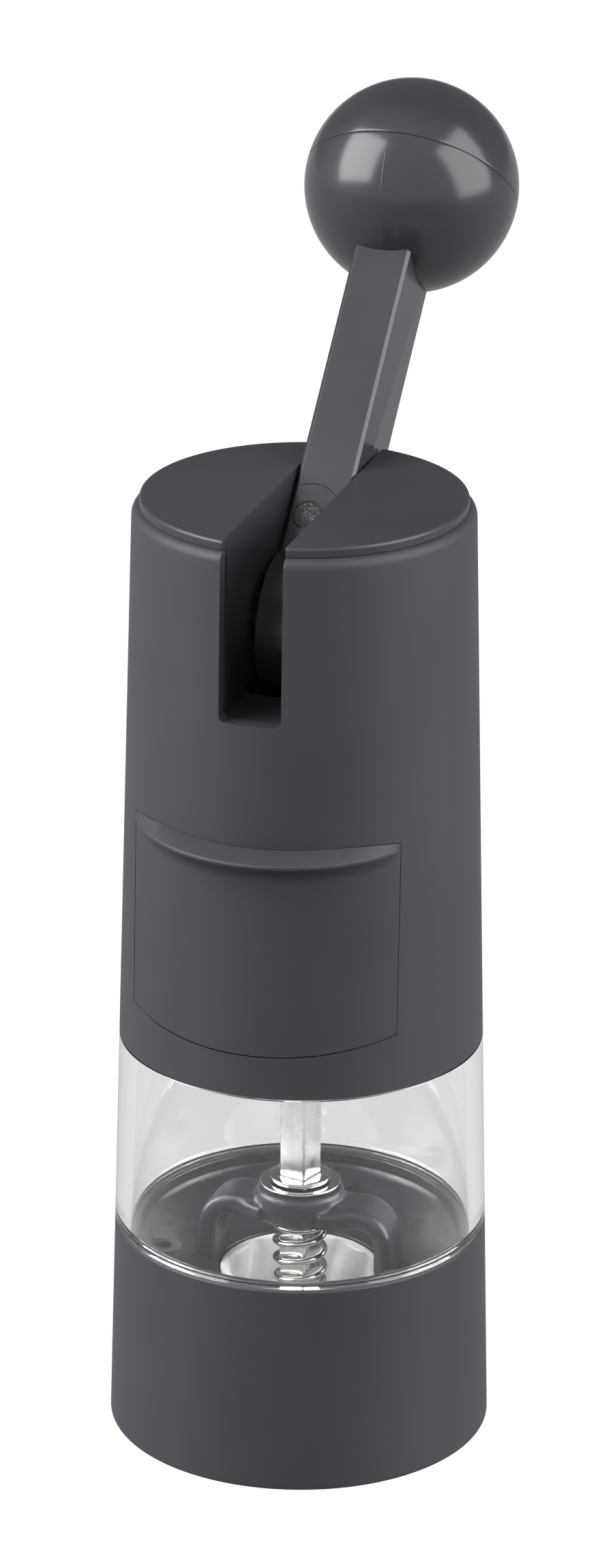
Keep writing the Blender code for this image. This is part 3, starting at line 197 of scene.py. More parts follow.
def turned(name, profile, steps=TURN, corner_steps=4, crease=38):
    """A closed (radius, height) profile turned about Z. A point may carry a corner radius."""
    outline = fillet(profile, corner_steps)
    points = []
    rings = []
    for radius, z in outline:
        if radius < 0.001 * MM:
            rings.append([len(points)] * steps)
            points.append((0, 0, z))
            continue
        rings.append(list(range(len(points), len(points) + steps)))
        for i in range(steps):
            a = 2 * math.pi * i / steps
            points.append((radius * math.sin(a), -radius * math.cos(a), z))
    faces = []
    for ring, after in zip(rings, rings[1:] + rings[:1]):
        for i in range(steps):
            j = (i + 1) % steps
            corners = dict.fromkeys((ring[i], ring[j], after[j], after[i]))
            if len(corners) > 2:
                faces.append(tuple(corners))
    return new_object(name, points, faces, crease)


def prism(name, outline, low, high, along="Z"):
    """An outline extruded between two heights. Its points are (x, y), or (y, z) along X."""
    points = []
    for level in (low, high):
        for u, v in outline:
            points.append((u, v, level) if along == "Z" else (level, u, v))
    count = len(outline)
    faces = [tuple(range(count)), tuple(range(count, 2 * count))]
    for i in range(count):
        j = (i + 1) % count
        faces.append((i, j, count + j, count + i))
    return new_object(name, points, faces)


def box(name, low, high):
    outline = [(low[0], low[1]), (high[0], low[1]), (high[0], high[1]), (low[0], high[1])]
    return prism(name, outline, low[2], high[2])


def stitch(name, rings, closed=False, crease=38):
    """Faces between rings of equal count."""
    count = len(rings[0])
    points = [p for ring in rings for p in ring]
    faces = []
    levels = len(rings) if closed else len(rings) - 1
    for level in range(levels):
        a = level * count
        b = (level + 1) % len(rings) * count
        for i in range(count):
            j = (i + 1) % count
            faces.append((a + i, a + j, b + j, b + i))
    if not closed:
        faces.append(tuple(range(count)))
        faces.append(tuple(range(len(points) - count, len(points))))
    return new_object(name, points, faces, crease)


def wire(name, path, radius, sides):
    """A round wire swept along a path, with domed ends."""
    rings = []
    count = len(path)
    for i, point in enumerate(path):
        here = Vector(point)
        tangent = Vector(path[min(i + 1, count - 1)]) - Vector(path[max(i - 1, 0)])
        tangent.normalize()
        side = tangent.orthogonal() if not rings else last_side
        side = (side - tangent * side.dot(tangent)).normalized()
        last_side = side
        other = tangent.cross(side)
        rings.append(
            [
                here + (side * math.cos(a) + other * math.sin(a)) * radius
                for a in (2 * math.pi * k / sides for k in range(sides))
            ]
        )
    for end, step in ((0, 1), (-1, -1)):
        centre = Vector(path[end])
        outward = (centre - Vector(path[end + step])).normalized() * radius
        rim = rings[end]
        dome = []
        for angle in (35, 65):
            a = math.radians(angle)
            ring = [centre + (p - centre) * math.cos(a) + outward * math.sin(a) for p in rim]
            dome.append(ring)
        rings = dome[::-1] + rings if end == 0 else rings + dome
    return stitch(name, rings, crease=60)


def ring_profile(inner, outer, low, high):
    """The (radius, height) corners of a plain ring, or of a rod when inner is 0."""
    return [(inner, low), (outer, low), (outer, high), (inner, high)]


def rod(name, radius, low, high, steps):
    return turned(name, ring_profile(0, radius, low, high), steps)


def moved(obj, x, y, z=0):
    obj.data.transform(Matrix.Translation((x, y, z)))
    return obj


def onto_x(obj, side=1):
    """Turns a piece made about Z so that it lies about X."""
    obj.data.transform(Matrix.Rotation(side * math.pi / 2, 4, "Y"))
    return obj


def upright_to_lever(obj):
    """From the lever's own frame, pivot at the origin and bar along Z, to its rest place."""
    obj.data.transform(Matrix.Translation(PIVOT) @ Matrix.Rotation(-LEVER_LEAN, 4, "X"))
    return obj


# ------ materials
def shader_of(name):
    material = bpy.data.materials.new(name)
    material.use_nodes = True
    tree = material.node_tree
    return material, tree, tree.nodes["Principled BSDF"]


def noise_node(tree, coords, scale, detail=2.0, roughness=0.5, distortion=0.0):
    node = tree.nodes.new("ShaderNodeTexNoise")
    node.inputs["Scale"].default_value = scale
    node.inputs["Detail"].default_value = detail
    node.inputs["Roughness"].default_value = roughness
    node.inputs["Distortion"].default_value = distortion
    tree.links.new(coords, node.inputs["Vector"])
    return node


def object_coords(tree, stretch=None):
    coords = tree.nodes.new("ShaderNodeTexCoord").outputs["Object"]
    if stretch is None:
        return coords
    mapping = tree.nodes.new("ShaderNodeMapping")
    mapping.inputs["Scale"].default_value = stretch
    tree.links.new(coords, mapping.inputs["Vector"])
    return mapping.outputs["Vector"]


def spread(tree, value, low, high, start=0.3, end=0.7):
    node = tree.nodes.new("ShaderNodeMapRange")
    node.inputs["From Min"].default_value = start
    node.inputs["From Max"].default_value = end
    node.inputs["To Min"].default_value = low
    node.inputs["To Max"].default_value = high
    tree.links.new(value, node.inputs["Value"])
    return node.outputs["Result"]


def tint(tree, factor, dark, light):
    ramp = tree.nodes.new("ShaderNodeValToRGB")
    ramp.color_ramp.elements[0].color = (*dark, 1)
    ramp.color_ramp.elements[1].color = (*light, 1)
    ramp.color_ramp.elements[0].position = 0.3
    ramp.color_ramp.elements[1].position = 0.7
    tree.links.new(factor, ramp.inputs["Fac"])
    return ramp.outputs["Color"]


def bump_from(tree, shader, height, strength, distance):
    bump = tree.nodes.new("ShaderNodeBump")
    bump.inputs["Strength"].default_value = strength
    bump.inputs["Distance"].default_value = distance
    tree.links.new(height, bump.inputs["Height"])
    tree.links.new(bump.outputs["Normal"], shader.inputs["Normal"])


def second_bump(material, height, distance):
    """Adds a second height to a material, on top of its grain."""
    tree = material.node_tree
    normal = tree.nodes["Principled BSDF"].inputs["Normal"]
    bump = tree.nodes.new("ShaderNodeBump")
    bump.inputs["Distance"].default_value = distance
    tree.links.new(normal.links[0].from_socket, bump.inputs["Normal"])
    tree.links.new(height, bump.inputs["Height"])
    tree.links.new(bump.outputs["Normal"], normal)


def maths(tree, operation, *values):
    node = tree.nodes.new("ShaderNodeMath")
    node.operation = operation
    for value, socket in zip(values, node.inputs):
        tree.links.new(value, socket)
    return node.outputs["Value"]


def moulded(name, color, roughness, grain=0.25):
    """Injection-moulded plastic: a fine spark-eroded grain and a faint unevenness of gloss."""
    material, tree, shader = shader_of(name)
    coords = object_coords(tree)
    cloud = noise_node(tree, coords, 55, 3.0)
    fine = noise_node(tree, coords, 2600, 2.0, 0.6)
    dark = tuple(c * 0.955 for c in color)
    light = tuple(c * 1.045 for c in color)
    tree.links.new(tint(tree, cloud.outputs["Fac"], dark, light), shader.inputs["Base Color"])
    rough = spread(tree, cloud.outputs["Fac"], roughness * 0.92, roughness * 1.1)
    tree.links.new(rough, shader.inputs["Roughness"])
    shader.inputs["IOR"].default_value = 1.46
    bump_from(tree, shader, fine.outputs["Fac"], grain, 0.01 * MM)
    return material


def metal(name, color, roughness, streak=(1, 1, 1), depth=0.2, scale=900):
    """Bare metal with drawn or turned streaks along the axis with the smallest stretch."""
    material, tree, shader = shader_of(name)
    coords = object_coords(tree, streak)
    lines = noise_node(tree, coords, scale, 4.0, 0.65)
    cloud = noise_node(tree, object_coords(tree), 320, 3.0, 0.6)
    dark = tuple(c * 0.86 for c in color)
    tree.links.new(tint(tree, lines.outputs["Fac"], dark, color), shader.inputs["Base Color"])
    rough = spread(tree, cloud.outputs["Fac"], roughness * 0.75, roughness * 1.3)
    tree.links.new(rough, shader.inputs["Roughness"])
    shader.inputs["Metallic"].default_value = 1.0
    bump_from(tree, shader, lines.outputs["Fac"], depth, 0.02 * MM)
    return material


def glazed(name, color, painted_shade):
    """Dense white ceramic. Its grey swirls are painted shade in the base colour, standing in for
    the shading of the mould's flutes; the same swirls also give a real bump.
    """
    material, tree, shader = shader_of(name)
    coords = object_coords(tree)
    swirl = noise_node(tree, coords, 90, 2.0, 0.5, 1.6)
    fine = noise_node(tree, coords, 1400, 2.0)
    # painted shade: the swirl noise tints the base colour from grey to white, standing in for the
    # flutes' shading
    tree.links.new(tint(tree, swirl.outputs["Fac"], painted_shade, color), shader.inputs["Base Color"])
    rough = spread(tree, fine.outputs["Fac"], 0.16, 0.26)
    tree.links.new(rough, shader.inputs["Roughness"])
    shader.inputs["IOR"].default_value = 1.6
    bump_from(tree, shader, swirl.outputs["Fac"], 0.25, 0.15 * MM)
    return material


def clear_plastic(name):
    """Clear acrylic. Lamps shine through it."""
    material, tree, shader = shader_of(name)
    coords = object_coords(tree)
    flow = noise_node(tree, object_coords(tree, (1, 1, 0.25)), 130, 2.0)
    rough = spread(tree, noise_node(tree, coords, 500).outputs["Fac"], 0.0, 0.025)
    tree.links.new(rough, shader.inputs["Roughness"])
    shader.inputs["Base Color"].default_value = (0.93, 0.93, 0.935, 1)
    shader.inputs["Transmission Weight"].default_value = 1.0
    shader.inputs["IOR"].default_value = 1.49
    bump_from(tree, shader, flow.outputs["Fac"], 0.06, 0.2 * MM)
    see_through = tree.nodes.new("ShaderNodeBsdfTransparent")
    see_through.inputs["Color"].default_value = (0.93, 0.93, 0.93, 1)
    path = tree.nodes.new("ShaderNodeLightPath")
    mix = tree.nodes.new("ShaderNodeMixShader")
    tree.links.new(path.outputs["Is Shadow Ray"], mix.inputs["Fac"])
    tree.links.new(shader.outputs["BSDF"], mix.inputs[1])
    tree.links.new(see_through.outputs["BSDF"], mix.inputs[2])
    tree.links.new(mix.outputs["Shader"], tree.nodes["Material Output"].inputs["Surface"])
    return material


CHARCOAL = (0.0222, 0.0232, 0.0282)
satin = moulded("satin_charcoal", CHARCOAL, 0.55)
plate_satin = moulded("plate_charcoal", CHARCOAL, 0.36, 0.15)
lever_satin = moulded("lever_charcoal", CHARCOAL, 0.20, 0.08)
polished = moulded("polished_charcoal", CHARCOAL, 0.19, 0.06)
split_polish = moulded("split_polished_charcoal", CHARCOAL, 0.19, 0.06)
bowl_satin = moulded("bowl_charcoal", CHARCOAL, 0.27, 0.06)
nylon = moulded("dark_nylon", (0.020, 0.020, 0.021), 0.45, 0.2)
clear = clear_plastic("clear_acrylic")
# the second colour is the grey of the painted shade in the ceramic's swirls
ceramic = glazed("white_ceramic", (0.9, 0.895, 0.88), (0.62, 0.62, 0.61))
drawn_steel = metal("drawn_steel", (0.80, 0.79, 0.77), 0.24, (1, 1, 0.04), 0.5)
spring_steel = metal("spring_steel", (0.62, 0.61, 0.60), 0.13, (1, 1, 1), 0.1)
dark_steel = metal("polished_steel", (0.66, 0.66, 0.67), 0.08, (1, 1, 0.2), 0.03)
bright_steel = metal("bright_steel", (0.72, 0.72, 0.72), 0.10, (1, 1, 0.2), 0.03)


def add_ejector_mark(material, centre):
    """The ring and the swirl that the mould's ejector leaves on the lever's front."""
    tree = material.node_tree
    coords = object_coords(tree)
    away = tree.nodes.new("ShaderNodeVectorMath")
    away.operation = "DISTANCE"
    away.inputs[1].default_value = centre
    tree.links.new(coords, away.inputs[0])
    ring = spread(tree, away.outputs["Value"], 0, 1, 4.95 * MM, 5.10 * MM)
    disc = spread(tree, away.outputs["Value"], 1, 0, 1.9 * MM, 2.3 * MM)
    swirl = noise_node(tree, coords, 650, 2.0, 0.5, 3.5).outputs["Fac"]
    swirled = maths(tree, "MULTIPLY", disc, swirl)
    second_bump(material, maths(tree, "ADD", ring, swirled), 0.12 * MM)


def add_parting_line(material):
    """The hair-fine ridge that the mould's halves leave in the plane X = 0."""
    tree = material.node_tree
    axes = tree.nodes.new("ShaderNodeSeparateXYZ")
    tree.links.new(object_coords(tree), axes.inputs["Vector"])
    ridge = spread(tree, maths(tree, "ABSOLUTE", axes.outputs["X"]), 1, 0, 0.03 * MM, 0.13 * MM)
    second_bump(material, ridge, 0.05 * MM)


add_ejector_mark(lever_satin, (-1.4 * MM, 5.59 * MM, 140.78 * MM))
add_parting_line(split_polish)


def finish_piece(obj, material, body, *nodes):
    """Gives a piece its material and its body, and hides the CAD nodes that it stands for."""
    obj.data.materials.clear()
    obj.data.materials.append(material)
    for polygon in obj.data.polygons:
        polygon.material_index = 0
    weighted = obj.modifiers.new("Normals", "WEIGHTED_NORMAL")
    weighted.keep_sharp = True
    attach(obj, body)
    if nodes:
        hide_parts(*nodes)
    return obj


# ------ outer shell and door
def door_low_z(y):
    return DOOR_LOW + (y - DOOR_FRONT) * DOOR_SLOPE


def door_reach():
    corner_y = -math.sqrt(cone(DOOR_CORNER) ** 2 - DOOR_HALF**2)
    return math.hypot(corner_y - HINGE.y, DOOR_CORNER - HINGE.z)


DOOR_REACH = door_reach()


def door_high_z(y, gap=0.0):
    reach = DOOR_REACH + gap
    return HINGE.z + math.sqrt(max(reach**2 - (y - HINGE.y) ** 2, 0))


def edge_height(x, inset, top, gap):
    """Height at which the wall, inset from the outside, meets the door's top or bottom at x."""
    z = DOOR_CORNER if top else DOOR_LOW
    for _ in range(6):
        y = -math.sqrt(max((cone(z) - inset) ** 2 - x**2, 0))
        z = door_high_z(y, gap) if top else door_low_z(y) - gap
    return z


def wall_point(x, z, inset):
    return Vector((x, -math.sqrt(max((cone(z) - inset) ** 2 - x**2, 0)), z))


def relief_height(x, y, z):
    """Lowers a point of the opening's lower face to leave room for the door's swinging edge."""
    x = min(abs(x), DOOR_HALF)
    edge = wall_point(x, edge_height(x, 0, False, 0), 0)
    reach = math.hypot(edge.y - HINGE.y, edge.z - HINGE.z) + 0.2 * MM
    if abs(y - HINGE.y) >= reach:
        return z
    return min(z, HINGE.z - math.sqrt(reach**2 - (y - HINGE.y) ** 2))


SLOT_COLS, DOOR_COLS, SIDE_COLS = 3, 26, 58
HALF_COLS = 2 * SLOT_COLS + DOOR_COLS + SIDE_COLS
ALL_COLS = 2 * HALF_COLS
FRONT_DOOR_COL = SLOT_COLS + DOOR_COLS
BACK_SLOT_COL = HALF_COLS - SLOT_COLS


def column_angle(k, radius):
    """Angle from the front of column k, which keeps the slot's and door's sides straight."""
    k = (k + HALF_COLS) % ALL_COLS - HALF_COLS
    sign = -1 if k < 0 else 1
    k = abs(k)
    slot = math.asin(SLOT_HALF / radius)
    door = math.asin((DOOR_HALF + SEAM) / radius)
    marks = (0, SLOT_COLS, FRONT_DOOR_COL, BACK_SLOT_COL, HALF_COLS)
    angles = (0, slot, door, math.pi - slot, math.pi)
    for low, high, a, b in zip(marks, marks[1:], angles, angles[1:]):
        if k <= high:
            return sign * (a + (b - a) * (k - low) / (high - low))
    return sign * math.pi


def column_x(k, radius):
    x = radius * math.sin(column_angle(k, radius))
    return max(-DOOR_HALF - SEAM, min(DOOR_HALF + SEAM, x))


def in_front(k, limit):
    """Whether the cell between columns k and k + 1 lies within limit columns of the front."""
    k = (k + HALF_COLS) % ALL_COLS - HALF_COLS
    return -limit <= k < limit


def make_shell():
    rows = {"foot": 6, "door": 20, "mid": 10, "slot": 14, "edge": 6}
    door_row = rows["foot"]
    mid_row = door_row + rows["door"]
    slot_row = mid_row + rows["mid"]
    edge_row = slot_row + rows["slot"]
    last_row = edge_row + rows["edge"]
    shoulder = SHELL_TOP - SHELL_EDGE
    lap_top = SHELL_LOW + 2.8 * MM

    def heights(k, inset):
        """The row heights of column k."""
        radius = cone(DOOR_LOW) - inset
        x_low = column_x(k, radius)
        x_high = column_x(k, cone(DOOR_CORNER) - inset)
        back = abs((k + HALF_COLS) % ALL_COLS - HALF_COLS) > FRONT_DOOR_COL
        if back:
            x_low = x_high = DOOR_HALF + SEAM
        low = edge_height(x_low, inset, False, SEAM)
        if inset > 0:
            y = wall_point(x_low, low, inset).y
            low = relief_height(x_low, y, low) if not back else low
        high = edge_height(x_high, inset, True, SEAM)
        start = SHELL_LOW if inset == 0 else lap_top
        marks = [
            (start, low, rows["foot"]),
            (low, high, rows["door"]),
            (high, SLOT_FLOOR, rows["mid"]),
            (SLOT_FLOOR, shoulder, rows["slot"]),
        ]
        found = [start]
        for a, b, count in marks:
            found += [a + (b - a) * (i + 1) / count for i in range(count)]
        return found

    points, index = [], {}

    def put(side, row, k, radius, z):
        k %= ALL_COLS
        a = column_angle(k, radius)
        index[side, row, k] = len(points)
        points.append((radius * math.sin(a), -radius * math.cos(a), z))

    for k in range(ALL_COLS):
        outer = heights(k, 0)
        inner = heights(k, SHELL_WALL)
        for row, z in enumerate(outer):
            put("out", row, k, cone(z), z)
        for i in range(1, rows["edge"] + 1):
            a = math.pi / 2 * i / rows["edge"]
            z = shoulder + SHELL_EDGE * math.sin(a)
            put("out", edge_row + i, k, cone(z) - SHELL_EDGE * (1 - math.cos(a)), z)
        for row, z in enumerate(inner):
            put("in", row, k, cone(z) - SHELL_WALL, z)
        for i in range(1, rows["edge"] + 1):
            z = shoulder + SHELL_EDGE * i / rows["edge"]
            put("in", edge_row + i, k, cone(z) - SHELL_WALL, z)
        put("lap", 0, k, cone(SHELL_LOW) - 1.3 * MM, SHELL_LOW)
        put("lap", 1, k, cone(lap_top) - 1.3 * MM, lap_top)

    def hole(row, k):
        if door_row <= row < mid_row and in_front(k, FRONT_DOOR_COL):
            return True
        k = (k + HALF_COLS) % ALL_COLS - HALF_COLS
        behind = not -BACK_SLOT_COL <= k < BACK_SLOT_COL
        return row >= slot_row and (-SLOT_COLS <= k < SLOT_COLS or behind)

    faces = []

    def quad(*corners):
        faces.append(tuple(index[side, row, k % ALL_COLS] for side, row, k in corners))

    def across(row, k):
        """A face through the wall, along row from column k."""
        quad(("out", row, k), ("out", row, k + 1), ("in", row, k + 1), ("in", row, k))

    def upright(row, k):
        """A face through the wall, up column k from row."""
        quad(("out", row, k), ("in", row, k), ("in", row + 1, k), ("out", row + 1, k))

    for k in range(ALL_COLS):
        for row in range(last_row):
            if hole(row, k):
                continue
            for side in ("out", "in"):
                low, high = (side, row), (side, row + 1)
                quad((*low, k), (*low, k + 1), (*high, k + 1), (*high, k))
            if hole(row, k - 1):
                upright(row, k)
            if hole(row, k + 1):
                upright(row, k + 1)
            if row + 1 < last_row and hole(row + 1, k) and row + 1 != door_row:
                across(row + 1, k)
            if row and hole(row - 1, k):
                across(row, k)
        if not hole(last_row - 1, k):
            across(last_row, k)
        quad(("out", 0, k), ("out", 0, k + 1), ("lap", 0, k + 1), ("lap", 0, k))
        quad(("lap", 0, k), ("lap", 0, k + 1), ("lap", 1, k + 1), ("lap", 1, k))
        quad(("lap", 1, k), ("lap", 1, k + 1), ("in", 0, k + 1), ("in", 0, k))

    # The opening's lower face, which dips to clear the door's lower edge as it swings in.
    dips = 4
    for k in range(-FRONT_DOOR_COL, FRONT_DOOR_COL + 1):
        start = Vector(points[index["out", door_row, k % ALL_COLS]])
        end = Vector(points[index["in", door_row, k % ALL_COLS]])
        for i in range(1, dips):
            point = start.lerp(end, i / dips)
            plane = door_low_z(point.y) - SEAM
            point.z = relief_height(point.x, point.y, plane)
            index["dip", i, k % ALL_COLS] = len(points)
            points.append(tuple(point))
        index["dip", 0, k % ALL_COLS] = index["out", door_row, k % ALL_COLS]
        index["dip", dips, k % ALL_COLS] = index["in", door_row, k % ALL_COLS]
    for k in range(-FRONT_DOOR_COL, FRONT_DOOR_COL):
        for i in range(dips):
            quad(("dip", i, k), ("dip", i, k + 1), ("dip", i + 1, k + 1), ("dip", i + 1, k))
    for k in (-FRONT_DOOR_COL, FRONT_DOOR_COL):
        faces.append(tuple(index["dip", i, k % ALL_COLS] for i in range(dips + 1)))

    return new_object("outer_shell_body", points, faces)


def round_notches(obj):
    """Rounds the lower corners of the two slots."""
    shape = bmesh.new()
    shape.from_mesh(obj.data)
    near = 0.01 * MM
    found = []
    for edge in shape.edges:
        ends = [v.co for v in edge.verts]
        at_side = all(abs(abs(p.x) - SLOT_HALF) < near for p in ends)
        at_corner = at_side and all(abs(p.z - SLOT_FLOOR) < near for p in ends)
        if at_corner and (ends[0] - ends[1]).length > MM:
            found.append(edge)
    bmesh.ops.bevel(shape, geom=found, offset=SLOT_CORNER, segments=6, profile=0.5, affect="EDGES")
    shape.to_mesh(obj.data)
    shape.free()


shell = make_shell()
round_notches(shell)
rib_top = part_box("gear_frame")[0].z - 0.3 * MM
rib_wall = cone(rib_top) - SHELL_WALL
rib = ring_profile(rib_wall - 0.9 * MM, rib_wall + 0.6 * MM, rib_top - 1.4 * MM, rib_top)
combine(shell, turned("rib", rib), "UNION")
round_edges(shell, 0.16 * MM)


def merge(obj, other):
    """Adds another closed shape to a piece's mesh."""
    shape = bmesh.new()
    shape.from_mesh(obj.data)
    shape.from_mesh(other.data)
    shape.to_mesh(obj.data)
    shape.free()
    bpy.data.objects.remove(other)
    return obj


def make_door_stop():
    """A low wall behind the door's lower edge, past the edge's sweep, joined to the shell."""
    half, back = 10.5 * MM, HINGE.y + 0.9 * MM
    edge = cone(66 * MM) - SHELL_WALL * 0.6
    outline = [(half, back), (-half, back)]
    for i in range(17):
        x = half * (i / 8 - 1)
        outline.append((x, -math.sqrt(edge**2 - x**2)))
    stop = prism("door_stop", outline, 65.9 * MM, 66.5 * MM)
    return merge(stop, box("wall", (-half, back - 0.6 * MM, 66.2 * MM), (half, back, 68.0 * MM)))


merge(shell, make_door_stop())
smooth(shell, 50)
finish_piece(shell, satin, "housing", "outer_shell")


def door_profile(x):
    """The door's section at x, as (y, z) points round the loop."""
    top = edge_height(x, 0, True, 0)
    low = edge_height(x, 0, False, 0)
    nose_z = 99.5 * MM
    edge_y = -cone(101.0 * MM) - LIP_REACH + LIP_RADIUS - math.sqrt(LIP_RADIUS**2 - x**2)
    reach = max(wall_point(x, nose_z, 0).y - edge_y, 0.1 * MM)
    edge_y = wall_point(x, nose_z, 0).y - reach
    nose = min(0.42 * MM, reach * 0.5)
    centre = Vector((edge_y + nose, nose_z))
    first, last = math.radians(-62), math.radians(66)
    blend_end = centre + nose * Vector((-math.cos(first), math.sin(first)))
    blend_low = nose_z - 3.6 * MM * (reach / LIP_REACH) ** 0.6
    found = []
    for i in range(21):
        z = low + (blend_low - low) * i / 20
        found.append((wall_point(x, z, 0).y, z))
    end_reach = wall_point(x, blend_end.y, 0).y - blend_end.x
    for i in range(1, 10):
        share = i / 10
        z = blend_low + (blend_end.y - blend_low) * share
        found.append((wall_point(x, z, 0).y - end_reach * (1 - math.cos(share * math.pi / 2)), z))
    for i in range(8):
        a = first + (last - first) * i / 7
        found.append((centre.x - nose * math.cos(a), centre.y + nose * math.sin(a)))
    seam_y = wall_point(x, top, 0).y
    top_in = edge_height(x, SHELL_WALL, True, 0)
    back_y = wall_point(x, top_in, SHELL_WALL).y
    for i in range(4):
        y = seam_y + (back_y - seam_y) * i / 3
        found.append((y, door_high_z(y)))
    low_in = edge_height(x, SHELL_WALL, False, 0)
    for i in range(1, 15):
        z = top_in + (low_in - top_in) * i / 14
        found.append((wall_point(x, z, SHELL_WALL).y, z))
    return [(x, y, z) for y, z in found]


def make_door():
    columns = 64
    widest = math.asin(DOOR_HALF / cone(DOOR_LOW))
    rings = []
    for i in range(columns + 1):
        x = cone(DOOR_LOW) * math.sin(widest * (2 * i / columns - 1))
        rings.append(door_profile(x))
    door = stitch("door_body", rings)
    add_bevel(door, 0.13 * MM, 3, 38).use_clamp_overlap = False
    settle(door)
    knuckle = 1.9 * MM
    wall_y = -(cone(HINGE.z) - SHELL_WALL * 2 / 3)
    for side in (-1, 1):
        low, high = sorted((side * 2.0 * MM, side * 4.4 * MM))
        outline = [(wall_y, HINGE.z + knuckle), (wall_y, HINGE.z - knuckle)]
        for i in range(17):
            a = math.radians(-90 + 180 * i / 16)
            outline.append((HINGE.y + knuckle * math.cos(a), HINGE.z + knuckle * math.sin(a)))
        lug = prism("lug", outline, low, high, "X")
        combine(door, lug, "UNION")
    bore = rod("bore", 1.05 * MM, -6 * MM, 6 * MM, 32)
    bore.data.transform(Matrix.Translation(HINGE) @ Matrix.Rotation(math.pi / 2, 4, "Y"))
    combine(door, bore)
    smooth(door, 36)
    return door


finish_piece(make_door(), satin, "door", "fill_door")


# ------ top cap
def make_cap():
    plate_low = SHELL_TOP + 0.04 * MM
    plate_radius = cone(SHELL_TOP) - 1.1 * MM
    plug_radius = cone(SHELL_TOP) - SHELL_WALL - 0.3 * MM
    under = SHELL_TOP - 1.6 * MM
    cap = turned(
        "cap_plate",
        [
            (0, under),
            (plug_radius, under),
            (plug_radius, plate_low),
            (plate_radius, plate_low),
            (plate_radius, CAP_TOP, 0.55 * MM),
            (0, CAP_TOP),
        ],
        corner_steps=6,
    )
    wide = 40 * MM
    slot = box("slot", (-SLOT_HALF, -wide, under - MM), (SLOT_HALF, wide, CAP_TOP + MM))
    combine(cap, slot)
    outer = SLOT_HALF + 1.6 * MM
    floor_low = SLOT_FLOOR - 1.6 * MM
    arch = 9.9 * MM
    opening = 12.5 * MM
    step = SLOT_FLOOR + MM

    def wall_end(z):
        return math.sqrt((cone(z) - SHELL_WALL - 0.3 * MM) ** 2 - outer**2)

    start = math.asin((step - PIVOT.z) / arch)
    outline = [(-wall_end(floor_low), floor_low), (-opening, floor_low), (-opening, step)]
    for i in range(41):
        a = math.pi - start + (2 * start - math.pi) * i / 40
        outline.append((arch * math.cos(a), PIVOT.z + arch * math.sin(a)))
    outline += [(opening, step), (opening, floor_low), (wall_end(floor_low), floor_low)]
    top = under + 0.6 * MM
    outline += [(wall_end(top), top), (-wall_end(top), top)]
    for low, high in ((-outer, -SLOT_HALF), (SLOT_HALF, outer)):
        combine(cap, prism("wall", outline, low, high, "X"), "UNION")
    for side in (-1, 1):
        ends = [(-outer, side * opening), (outer, side * opening)]
        reach = cone(floor_low) - SHELL_WALL - 0.35 * MM
        for i in range(9):
            x = outer * (1 - i / 4)
            ends.append((x, side * math.sqrt(reach**2 - x**2)))
        combine(cap, prism("floor", ends, floor_low, SLOT_FLOOR - 0.1 * MM), "UNION")
    for x in (-15.0 * MM, 15.0 * MM):
        for y in (-12.6 * MM, 12.6 * MM):
            low = 109.06 * MM
            combine(cap, moved(rod("post", 2 * MM, low, under + MM, 40), x, y), "UNION")
            combine(cap, moved(rod("hole", 1.25 * MM, low - MM, low + 8 * MM, 32), x, y))
    return round_edges(cap, 0.18 * MM, 2, crease=50)


finish_piece(make_cap(), plate_satin, "housing", "top_cap")


# ------ lever and ball
def ratchet_crown(name, base, height):
    """A ring of 14 saw teeth on Z, flat at base, with its tips at base + height."""
    teeth = 14
    rings = []
    for radius, toothed in ((9.2, False), (9.2, True), (5.6, True), (5.6, False)):
        ring = []
        for tooth in range(teeth):
            for share, rise in ((0.0, 0.0), (0.05, 0.42), (0.10, 0.86), (0.15, 1.0), (0.55, 0.55)):
                a = 2 * math.pi * (tooth + share) / teeth
                root = 0.25 * height
                z = base + (root + (height - root) * rise if toothed else 0)
                ring.append((radius * MM * math.cos(a), radius * MM * math.sin(a), z))
        rings.append(ring)
    return stitch(name, rings, closed=True)


def bar_section(grow=0.0):
    """The bar's chamfered outline, as (x, y) points in the lever's frame."""
    w, d, c = LEVER_HALF + grow, LEVER_DEPTH + grow, LEVER_CHAMFER + grow * 0.6
    soft = 0.15 * MM
    return fillet(
        [
            (w - c, d, soft), (w, d - c, soft), (w, c - d, soft), (w - c, -d, soft),
            (c - w, -d, soft), (-w, c - d, soft), (-w, d - c, soft), (c - w, d, soft),
        ],
        3,
    )


def make_lever():
    """The bar, its hub and the ratchet teeth on both of the hub's sides."""
    w = LEVER_HALF
    bar = prism("lever_bar", bar_section(), 0, LEVER_LENGTH - 2.0 * MM)
    core = w - 0.8 * MM
    hub_steps = 120
    combine(bar, onto_x(rod("hub", 10.3 * MM, -core, core, hub_steps)), "UNION")
    rim = w - 0.15 * MM
    rim = turned(
        "rim",
        [
            (9.5 * MM, -rim), (HUB_RADIUS, -rim, 0.18 * MM),
            (HUB_RADIUS, rim, 0.18 * MM), (9.5 * MM, rim),
        ],
        hub_steps,
    )
    combine(bar, onto_x(rim), "UNION")
    for side in (-1, 1):
        teeth = ratchet_crown("teeth", core - 0.4 * MM, 1.2 * MM)
        combine(bar, onto_x(teeth, side), "UNION")
    combine(bar, onto_x(rod("bore", 2.7 * MM, -9 * MM, 9 * MM, 48)))
    smooth(bar, 28)
    return upright_to_lever(bar)


